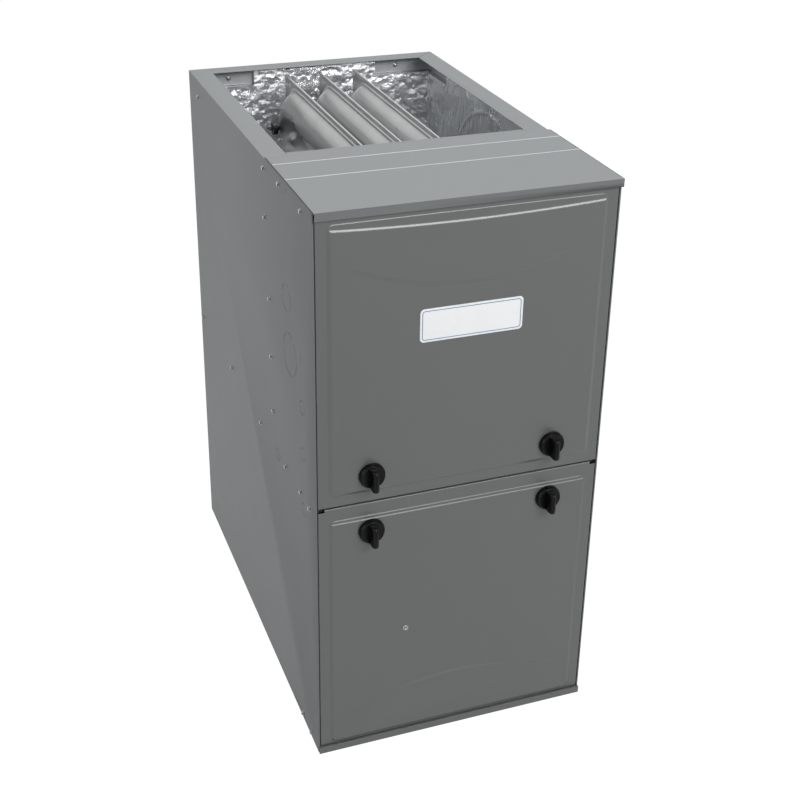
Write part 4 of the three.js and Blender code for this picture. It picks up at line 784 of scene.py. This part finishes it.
# %% [markdown]
# ## Knobs
# Four black quarter-turn knobs hold the doors. Each is a glossy disc with a sloped edge and an
# upright grip whose base flares out at the top and whose blunt tail ends above the disc's edge.
# The disc is turned, and the grip is a loft through rounded sections, so its flanks are smooth.
# The stem and the tongue behind the door belong to the same piece.

# %% Knobs
KNOB_SEAT = -2.5  # where the disc's back is
GRIP_FOOT = -8  # where the grip starts inside the disc, from the seat


def bar_section(z, crest, width_base, width_crest):
    """A rounded bar's outline at one height: from the left foot over the crest to the right foot."""
    ring = []
    for n in range(9):
        a = math.pi * n / 8
        rise = math.sin(a) ** 0.3
        width = width_base + (width_crest - width_base) * rise
        ring.append((-width / 2 * math.cos(a), GRIP_FOOT + (crest - GRIP_FOOT) * rise, z))
    return ring


def knob_shapes(x, z, tongue_side):
    """The disc, the grip, the stem through the door and the tongue behind it."""
    disc = turned("y", [
        (19.5, 0), (19.5, -4.2), (19.2, -5.0), (18.4, -7.0), (17.6, -8.4), (16.9, -8.95), (16.0, -9.0),
        (13.0, -8.6), (6.0, -8.4), (1.0, -8.4),
    ], (0, 0), 72)
    grip = loft([bar_section(*section) for section in (  # height, crest, width at foot and at crest
        (16.0, -18.5, 15.0, 8.0), (15.2, -21.5, 15.0, 8.2), (13.0, -24.0, 14.2, 8.4),
        (9.0, -25.2, 13.0, 8.6), (3.0, -25.9, 11.4, 8.8), (-4.0, -26.0, 10.2, 8.9),
        (-10.0, -25.8, 10.4, 9.6), (-15.0, -25.0, 10.8, 10.2), (-16.6, -24.6, 10.8, 10.2),
        (-17.0, -24.2, 10.4, 9.8),
    )])
    stem = rod("y", 6, -1, 25.6, (0, 0), 32)
    tongue = block(-tongue_side * 6, tongue_side * 31, 22.6, 25.6, -4, 4)
    return [([(px + x, py + KNOB_SEAT, pz + z) for px, py, pz in points], faces)
            for points, faces in (disc, grip, stem, tongue)]


for word, side in (("left", -1), ("right", 1)):
    for door, height, tongue_side in (("upper", UPPER_KNOB_Z, 1), ("lower", LOWER_KNOB_Z, -1)):
        name = f"{door}_knob_{word}"
        disc, grip, stem, tongue = knob_shapes(side * KNOB_X, height, tongue_side)
        knob = outward(make(f"{name}_moulding", disc))
        for shape in (grip, stem, tongue):
            combine(knob, outward(make("knob_part", shape)), "UNION")
        soften(knob, 0.35, 2, 34)
        hand_over(knob, "black_gloss_plastic", name)
print("knobs made")

# %% [markdown]
# ## Badge plate
# The upper door carries a white plate with rounded corners and a thin blue line just inside its
# edge. It is left bare: no name or lettering is on it. The line is a slightly raised ring, so it
# is a real edge.

# %% Badge
def rounded_outline(x, z, half_x, half_z, corner, steps=10):
    """Points round a rectangle with round corners, from its lower right corner."""
    ring = []
    for side, rise, first in ((1, -1, -90), (1, 1, 0), (-1, 1, 90), (-1, -1, 180)):
        cx, cz = x + side * (half_x - corner), z + rise * (half_z - corner)
        for n in range(steps + 1):
            a = math.radians(first + 90 * n / steps)
            ring.append((cx + corner * math.cos(a), cz + corner * math.sin(a)))
    return ring


def plate_shape(outline, front, back):
    return loft([[(x, y, z) for x, z in outline] for y in (front, back)])


BADGE = (4.5, 710)
badge = outward(make("badge_face", plate_shape(rounded_outline(*BADGE, 76.5, 25, 6), -3.7, -2.5)))
soften(badge, 0.35, 3)
hand_over(badge, "white_enamel_plate", "badge_plate")

line = outward(make("badge_border", plate_shape(rounded_outline(*BADGE, 73.6, 22.1, 4.4), -3.78, -3.4)))
combine(line, outward(make("inner", plate_shape(rounded_outline(*BADGE, 72.5, 21.0, 3.4), -5, 0))))
smooth(line)
line.data.materials.append(finishes["border_blue"])
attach(line, nodes["badge_plate"]["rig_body"])

# %% [markdown]
# ## Foil walls
# Insulation boards line the duct, faced with aluminium foil that was crumpled in handling. The
# inner face of each board is a fine grid. Large folds are the absolute value of smooth noise, and
# the small flakes are flat-sided peaks round scattered points, as crushed foil has them. The right
# wall is smoother, with long upright streaks and a few wide arcs.

# %% Foil
noise.seed_set(7)  # noise_vector takes its seed from the clock unless it is given one


def scaled_place(p, scale, seed):
    return Vector((p[0] / scale + seed, p[1] / scale - seed, p[2] / scale))


def folded(p, scale, seed):
    """Rounded folds with sharp valleys between them."""
    return abs(noise.noise(scaled_place(p, scale, seed)))


def flake(p, scale, seed):
    """Flat-sided peaks with sharp ridges: the distance along the axes to the nearest of many
    scattered points."""
    place = scaled_place(p, scale, seed)
    place += 0.35 * noise.noise_vector(place * 0.7)
    return noise.voronoi(place, distance_metric="MANHATTAN")[0][0]


ARCS = ((560, 610, 118), (590, 800, 92), (430, 705, 150), (330, 560, 190))  # y, z, radius
ARC_HALF, REAR_START, REAR_SPAN = 5, 560, 120  # half an arc's width, and where rear flakes begin


def foil_height(p, streaks):
    """How high the foil stands at a point, with or without upright streaks."""
    if not streaks:
        return 2.2 * folded(p, 46, 3) + 2.7 * flake(p, 13, 11) + 1.5 * flake(p, 6.0, 5)
    q = (p[0], p[1], p[2] * 0.2)
    arcs = sum(max(0, 1 - abs(math.hypot(p[1] - y, p[2] - z) - r) / ARC_HALF) for y, z, r in ARCS)
    rear = min(max((p[1] - REAR_START) / REAR_SPAN, 0), 1)
    return (2.4 * folded(p, 80, 3) + 1.4 * flake(q, 8, 11) + 0.9 * folded(q, 3.6, 5)
            + 1.3 * arcs + rear * 1.6 * flake(p, 9, 7))


FOIL_STEP, FOIL_RANGE, FOIL_BORDER = 2.3, 4.4, 6  # grid step, most relief, and the calm border
BOARD_THICK = 12


def foil_board(name, corner, across, inward, wide, tall, streaks):
    """A board whose inner face is crumpled: its lower corner, the way across and the way in."""
    us, vs = (np.arange(0, size + 0.1, FOIL_STEP) for size in (wide, tall))
    us, vs = us * wide / us[-1], vs * tall / vs[-1]
    corner, across, inward = (Vector(v) for v in (corner, across, inward))
    front, rear = [], []
    for v in vs:
        for u in us:
            base = corner + across * u + Vector((0, 0, v))
            border = min(u, wide - u, v, tall - v, FOIL_BORDER) / FOIL_BORDER
            level_in = BOARD_THICK - FOIL_RANGE + border * foil_height(base, streaks)
            front.append(tuple(base + inward * min(level_in, BOARD_THICK)))
            rear.append(tuple(base))
    count = len(front)
    faces = grid_faces(len(us), len(vs))
    rim = grid_rim(len(us), len(vs))
    points = front + [rear[n] for n in rim]
    for k in range(len(rim)):
        m = (k + 1) % len(rim)
        faces.append((rim[m], rim[k], count + k, count + m))
    faces.append(tuple(count + k for k in range(len(rim))))
    return outward(make(name, (points, faces)))


LINE_LOW, LINE_HIGH = 438, 886
LINE_FRONT = 233.3  # the boards begin behind the vestibule panel
BRACKET_ROOM = 856.7, 890  # heights between which a board is notched for the corner brackets
INSIDE, REAR_WALL = HALF - SHEET - FIT, DEPTH - SHEET - FIT


def line_wall(board, notches, look, node):
    """Notches a board for the corner brackets and hands it over."""
    for notch in notches:
        combine(board, make("notch", block(*notch, *BRACKET_ROOM)))
    smooth(board, 26)
    hand_over(board, look, node)


for word, side, look in (("left", -1, "wall_foil"), ("right", 1, "streaked_foil")):
    board = foil_board(f"foil_{word}", (side * INSIDE, LINE_FRONT, LINE_LOW), (0, 1, 0), (-side, 0, 0),
                       REAR_WALL - BOARD_THICK - FIT - LINE_FRONT, LINE_HIGH - LINE_LOW, side > 0)
    line_wall(board, [(side * 208, side * 223, DEPTH - SHEET - 110, DEPTH)], look, f"insulation_{word}")
board = foil_board("foil_back", (-INSIDE, REAR_WALL, LINE_LOW), (1, 0, 0), (0, -1, 0),
                   2 * INSIDE, LINE_HIGH - LINE_LOW, False)
line_wall(board, [(side * 111.25, side * 223, 715, 731) for side in (-1, 1)], "wall_foil",
          "insulation_back")
print("foil boards made")

# %% [markdown]
# ## Heat exchanger cells
# A cell is two pressed steel halves, crimped along the top. The gas runs back, turns down, runs
# forward, turns down and runs back again. Each half is a height over its flat web, and the height
# depends only on the distance to that winding path, so the long bulges get round ends and soft
# shoulders, as in real pressings. Two low beads run along the top under the crimp.

# %% Cells
CELL_FRONT, CELL_BACK, CELL_LOW, CELL_TOP = 233.3, 690.0, 640.0, 879.0
PASS_Z, PASS_STEP, BACK_BEND, FRONT_BEND = 836.0, 78.0, 612.0, 310.0
CELL_X = 61.5  # from one cell's web to the next
PASS_HALF = 32.0  # half the height of a gas pass


def path_distance(y, z):
    """Distance to the winding gas path in the plane of the cell."""
    radius = PASS_STEP / 2
    found = np.full(y.shape, 1e9)
    spans = ((CELL_FRONT - 40, BACK_BEND), (FRONT_BEND, BACK_BEND), (FRONT_BEND, CELL_BACK + 40))
    for n, (start, end) in enumerate(spans):
        nearest = np.clip(y, start, end)
        found = np.minimum(found, np.hypot(y - nearest, z - (PASS_Z - n * PASS_STEP)))
    for centre_y, level_z, way in ((BACK_BEND, PASS_Z - radius, 1), (FRONT_BEND, PASS_Z - 3 * radius, -1)):
        on_side = way * (y - centre_y) >= 0
        ring = np.abs(np.hypot(y - centre_y, z - level_z) - radius)
        found = np.where(on_side, np.minimum(found, ring), found)
    return found


def cell_depth(y, z):
    """Half the thickness of the cell at a point of its web."""
    away = path_distance(y, z)
    t = np.clip(away / PASS_HALF, 0, 1)
    bulge = 21.0 * np.power(np.clip(np.cos(t * math.pi / 2), 0, 1), 0.8)
    shoulder = 2.2 * ramp(36.5 - away, 2.6)
    beads = 0.5 * ramp(1.4 - np.abs(z - 874.6), 1.0)
    crimp = 0.9 * ramp(z - 876.2, 0.8)
    return 0.8 + np.sqrt(bulge ** 2 + 0.01) * ramp(PASS_HALF - away, 7.0) + shoulder + beads + crimp


def cell_shape(x):
    """Both halves of a cell, closed along the rim."""
    ys = grid_lines(CELL_FRONT, CELL_BACK, 4.0, [(560, 670, 2.5), (CELL_FRONT, 300, 3.0)])
    zs = grid_lines(CELL_LOW, CELL_TOP, 2.6, [(864, 879, 0.8)])
    along, up = np.meshgrid(ys, zs)
    thick = cell_depth(along, up)
    wide, tall = len(ys), len(zs)
    count = wide * tall
    points = []
    for side in (-1, 1):
        points += [(x + side * t, y, z) for t, y, z in zip(thick.ravel(), along.ravel(), up.ravel())]
    near = grid_faces(wide, tall)
    rim = grid_rim(wide, tall)
    faces = [(a, d, c, b) for a, b, c, d in near] + [tuple(count + n for n in face) for face in near]
    faces += [(a, b, count + b, count + a) for a, b in zip(rim, rim[1:] + rim[:1])]
    return points, faces


def oval(x, y, z, half_x=20.5, half_z=26.5, sides=40):
    """The bore of a gas pass at one depth."""
    turns = [2 * math.pi * n / sides for n in range(sides)]
    return [(x + half_x * math.cos(a), y, z + half_z * math.sin(a)) for a in turns]


BORES = ((PASS_Z, CELL_FRONT - 2, 420.0), (PASS_Z - 2 * PASS_STEP, 520.0, CELL_BACK + 2))  # z, from, to
for x, word in ((-CELL_X, "left"), (0.0, "middle"), (CELL_X, "right")):
    cell = outward(make(f"cell_{word}", cell_shape(x)))
    mouth = block(x - 27, x + 27, CELL_FRONT, CELL_FRONT + 1.2, PASS_Z - 33, PASS_Z + 33)
    combine(cell, make("mouth", mouth), "UNION")
    for z, start, end in BORES:
        combine(cell, make("way", loft([oval(x, y, z) for y in (start, end)])))
    smooth(cell, 42)
    hand_over(cell, "aluminised_steel", f"primary_cell_{word}")
print("cells made")

# %% [markdown]
# ## Duct brackets
# A grey angle bracket sits in each back corner of the duct, under the flanges. It is one strip of
# sheet bent round the corner, and its end is turned in a little, which shows as a fold line. Its grey
# is painted much lighter than the cabinet's: painted light that makes up for the little light so deep in
# the duct.

# %% Brackets
GAUGE, STRIP_FRONT, FOLD_X, END_X = 1.2, 619.3, 124, 111.6
STRIP_HEIGHTS = 857, 887.7
for word, side in (("left", -1), ("right", 1)):
    wall = side * INSIDE
    face = wall - side * GAUGE
    outline = [(wall, STRIP_FRONT), (wall, REAR_WALL), (side * FOLD_X, REAR_WALL),
               (side * END_X, REAR_WALL - 2.6), (side * END_X, REAR_WALL - 2.6 - GAUGE),
               (side * FOLD_X, REAR_WALL - GAUGE), (face, REAR_WALL - GAUGE), (face, STRIP_FRONT)]
    strip = outward(make(f"corner_bracket_{word}", loft([[(x, y, z) for x, y in outline]
                                                         for z in STRIP_HEIGHTS])))
    soften(strip, 0.25, 2, 12)
    # the lighter bracket paint is painted light for the dim back corners of the duct
    hand_over(strip, "bracket_enamel_with_painted_light", f"duct_bracket_{word}")

# %% [markdown]
# ## Screws
# Dozens of zinc plated screws hold the sheets. They are one Geometry Nodes tree: a washer, a hex
# head and a small dimple are placed on points, turned along a stored direction and spun by a
# random angle with a fixed seed. The result is turned into one plain mesh for the cabinet body.

# %% Screw tree
screw_tree, inside, outside = new_group(
    "sheet_screws", "GeometryNodeTree",
    {"Points": ("geometry", None), "Washer radius": ("float", 0.0042),
     "Head radius": ("float", 0.0033), "Head height": ("float", 0.0028),
     "Washer height": ("float", 0.0008), "Seed": ("int", 4), "Finish": ("material", None)},
    {"Screws": "geometry"},
)
washer = add(screw_tree, "GeometryNodeMeshCylinder", {
    "Vertices": 20, "Radius": inside.outputs["Washer radius"], "Depth": inside.outputs["Washer height"],
})
head = add(screw_tree, "GeometryNodeMeshCylinder", {
    "Vertices": 6, "Radius": inside.outputs["Head radius"], "Depth": inside.outputs["Head height"],
})
lift = add(screw_tree, "ShaderNodeMath", {0: inside.outputs["Head height"], 1: 0.5}, operation="MULTIPLY")
raised = add(screw_tree, "ShaderNodeCombineXYZ", {2: lift.outputs[0]})
head_up = add(screw_tree, "GeometryNodeTransform", {"Geometry": head.outputs["Mesh"],
                                                    "Translation": raised.outputs[0]})
crown = add(screw_tree, "GeometryNodeMeshCone", {
    "Vertices": 12, "Radius Top": 0.0008, "Radius Bottom": 0.0018, "Depth": 0.0004,
})
crown_lift = add(screw_tree, "ShaderNodeCombineXYZ", {2: inside.outputs["Head height"]})
crown_up = add(screw_tree, "GeometryNodeTransform", {"Geometry": crown.outputs["Mesh"],
                                                     "Translation": crown_lift.outputs[0]})
whole = add(screw_tree, "GeometryNodeJoinGeometry")
for part in (washer.outputs["Mesh"], head_up.outputs[0], crown_up.outputs[0]):
    screw_tree.links.new(part, whole.inputs[0])
facing = add(screw_tree, "GeometryNodeInputNamedAttribute", {"Name": "facing"}, data_type="FLOAT_VECTOR")
aligned = add(screw_tree, "FunctionNodeAlignRotationToVector", {"Vector": facing.outputs["Attribute"]},
              axis="Z")
placed = add(screw_tree, "GeometryNodeInstanceOnPoints", {
    "Points": inside.outputs["Points"], "Instance": whole.outputs[0], "Rotation": aligned.outputs[0],
})
chance = add(screw_tree, "FunctionNodeRandomValue", {"Seed": inside.outputs["Seed"]}, data_type="FLOAT")
chance.inputs[3].default_value = math.pi / 3
spin = add(screw_tree, "ShaderNodeCombineXYZ", {2: chance.outputs[1]})
spun = add(screw_tree, "GeometryNodeRotateInstances", {"Instances": placed.outputs[0],
                                                       "Rotation": spin.outputs[0]})
real = add(screw_tree, "GeometryNodeRealizeInstances", {"Geometry": spun.outputs[0]})
painted = add(screw_tree, "GeometryNodeSetMaterial", {"Geometry": real.outputs[0],
                                                      "Material": inside.outputs["Finish"]})
screw_tree.links.new(painted.outputs[0], outside.inputs["Screws"])


def screws(name, places, body_node):
    """Screws at places, each a point in millimetres and the way its head faces."""
    holder = make(name, ([p for p, _ in places], []))
    way = holder.data.attributes.new("facing", "FLOAT_VECTOR", "POINT")
    way.data.foreach_set("vector", [v for _, d in places for v in d])
    tool = holder.modifiers.new("screws", "NODES")
    tool.node_group = screw_tree
    ids = {i.name: i.identifier for i in screw_tree.interface.items_tree if i.in_out == "INPUT"}
    tool[ids["Finish"]] = finishes["zinc_plate"]
    settle(holder)
    smooth(outward(holder), 30)
    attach(holder, nodes[body_node]["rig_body"])
    return holder


# %% Cabinet screws
SIDE_SCREWS = [(663, 860), (238, 873), (158, 876), (50, 875), (237, 799), (223, 676), (223, 581),
               (218.5, 490), (299, 427), (490, 432), (708, 431.5), (154, 427.5), (74, 430), (29.5, 429),
               (86, 8), (39, 8)]  # y and z
places = [((side * HALF, y, z), (side, 0, 0)) for side in (-1, 1) for y, z in SIDE_SCREWS]
places += [((x, DEPTH, z), (0, 1, 0)) for x in (-180, -60, 60, 180) for z in (436, 868)]
places += [((side * 154, REAR_WALL - GAUGE, 870), (0, -1, 0)) for side in (-1, 1)]
cabinet_screws = screws("cabinet_screws", places, "casing_wrapper")
print("cabinet screws:", len(places), "with", len(cabinet_screws.data.polygons), "faces")

# %% Lower door screw
door_screw = outward(make(
    "door_screw",
    turned("y", [(2.1, 9), (2.1, -2.6), (4.6, -2.6), (4.7, -3.2), (4.2, -3.9), (2.9, -4.3)],
           SCREW_SPOT, 40),
    turned("y", [(2.9, -3.6), (2.9, -5.9), (2.5, -6.4)], SCREW_SPOT, 6),
))
soften(door_screw, 0.15, 2, 30)
hand_over(door_screw, "zinc_plate", "lower_door_screw")

# %% [markdown]
# ## The other pieces
# The rest of the furnace keeps its CAD shape. A copy of each mesh is merged, its flat faces are
# cleaned, its edges are softened and it gets its own finish. Hoses, tubes and wires have six sides
# in the CAD, and two levels of subdivision make them round.

# %% Dressed copies
def repaint(piece, look, low, high):
    """Gives the faces whose middle lies between two corners another finish."""
    low, high = spot(*low), spot(*high)
    piece.data.materials.append(finishes[look])
    for face in piece.data.polygons:
        if all(a <= c <= b for a, c, b in zip(low, face.center, high)):
            face.material_index = len(piece.data.materials) - 1


def dressed(node, look, rounds=0):
    """A copy of a CAD piece with soft edges, or rounded by subdivision, and its own finish."""
    copy = nodes[node].copy()
    copy.data = nodes[node].data.copy()
    copy.name = f"finished_{node}"
    for key in list(copy.keys()):
        if key.startswith("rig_"):
            del copy[key]
    copy.parent = None
    copy.matrix_world = Matrix.Identity(4)
    bpy.context.scene.collection.objects.link(copy)
    copy.data.materials.clear()
    tidy(copy)
    if rounds:
        round_off = copy.modifiers.new("round", "SUBSURF")
        round_off.levels = round_off.render_levels = rounds
        settle(copy)
        smooth(copy, 60)
    else:
        soften(copy, 0.35, 2, 30)
    return hand_over(copy, look, node)


PLAIN = {
    "galvanised_steel": ("galvanised", ["base_pan", "blower_deck", "middle_rail", "vestibule_panel",
                                        "burner_box", "blower_housing", "motor_mount", "blower_wheel",
                                        "control_bracket"]),
    "stainless_steel": ("stainless", ["condensing_coil", "coupling_box", "inducer_wheel"]),
    "aluminised_steel": ("aluminised", ["burner_left", "burner_middle", "burner_right"]),
    "black_plastic": ("black_plastic", ["collector_box", "limit_switch", "inducer_housing",
                                        "condensate_trap", "rollout_switch", "door_switch",
                                        "gas_valve_knob"]),
    "motor_enamel": ("motor_black", ["inducer_motor", "blower_motor", "transformer"]),
    "door_enamel": ("door_paint", ["base_rail"]),
    "white_pipe": ("white_pipe", ["vent_pipe"]),
    "grey_plastic": ("grey_plastic", ["pressure_switch"]),
    "black_iron": ("black_pipe", ["gas_manifold"]),
    "cast_metal": ("cast_zinc", ["gas_valve"]),
    "ceramic": ("ceramic", ["igniter", "flame_sensor"]),
    "red_plastic": ("red_plastic", ["rollout_reset_button"]),
    "zinc_plate": ("zinc", ["run_capacitor"]),
    "rubber": ("rubber", ["wiring_grommet"]),
    "board_laminate": ("board_green", ["control_board"]),
    "white_enamel_plate": ("white_plate", ["door_switch_plunger"]),
    "mineral_fibre": ("fibre", ["lower_door_liner"]),
}
finished = {}
for look, (slot, names) in PLAIN.items():
    for node in names:
        finished[node] = dressed(node, look)
for node in ("drain_tube", "pressure_hose", "valve_lead", "blower_lead"):
    finished[node] = dressed(node, "rubber", rounds=2)

# %% [markdown]
# ## Mixed finishes
# Several of these pieces are made of more than one material on the real furnace: relays, tabs and a
# fuse stand on the green board, the transformer's windings are taped, the flange round the supply
# opening is painted. Each is one mesh here, so faces inside a stated box get another finish.

# %% Mixed finishes
BOARD_LEFT, BOARD_LOW = -199, 300  # the control board's lower left corner
ON_BOARD = (  # from left to right and from bottom to top, measured from that corner
    ("black_plastic", 10, 110, 50, 76),
    ("zinc_plate", 0, 110, 0, 20),
    ("amber_tape", 112, 132, 20, 46),
    ("blue_sleeve", 114, 134, 54, 76),
)
for look, left, right, low, high in ON_BOARD:
    repaint(finished["control_board"], look, (BOARD_LEFT + left, 30, BOARD_LOW + low),
            (BOARD_LEFT + right, 59.8, BOARD_LOW + high))
for node, look, low, high in (
    ("vestibule_panel", "cabinet_enamel", (-200, 200, 885), (200, 260, 895)),
    ("transformer", "amber_tape", (70, 40, 340), (150, 66.2, 419)),
    ("transformer", "amber_tape", (70, 89.8, 340), (150, 110, 419)),
    ("transformer", "galvanised_steel", (60, 40, 421), (160, 120, 440)),
    ("blower_motor", "galvanised_steel", (121.5, 300, 100), (140, 520, 360)),
    ("blower_motor", "galvanised_steel", (15, 300, 100), (34, 520, 360)),
    ("run_capacitor", "brass", (60.3, 380, 100), (80, 480, 200)),
    ("inducer_motor", "galvanised_steel", (-70, 84, 520), (60, 100, 640)),
):
    repaint(finished[node], look, low, high)
print("mixed finishes set")
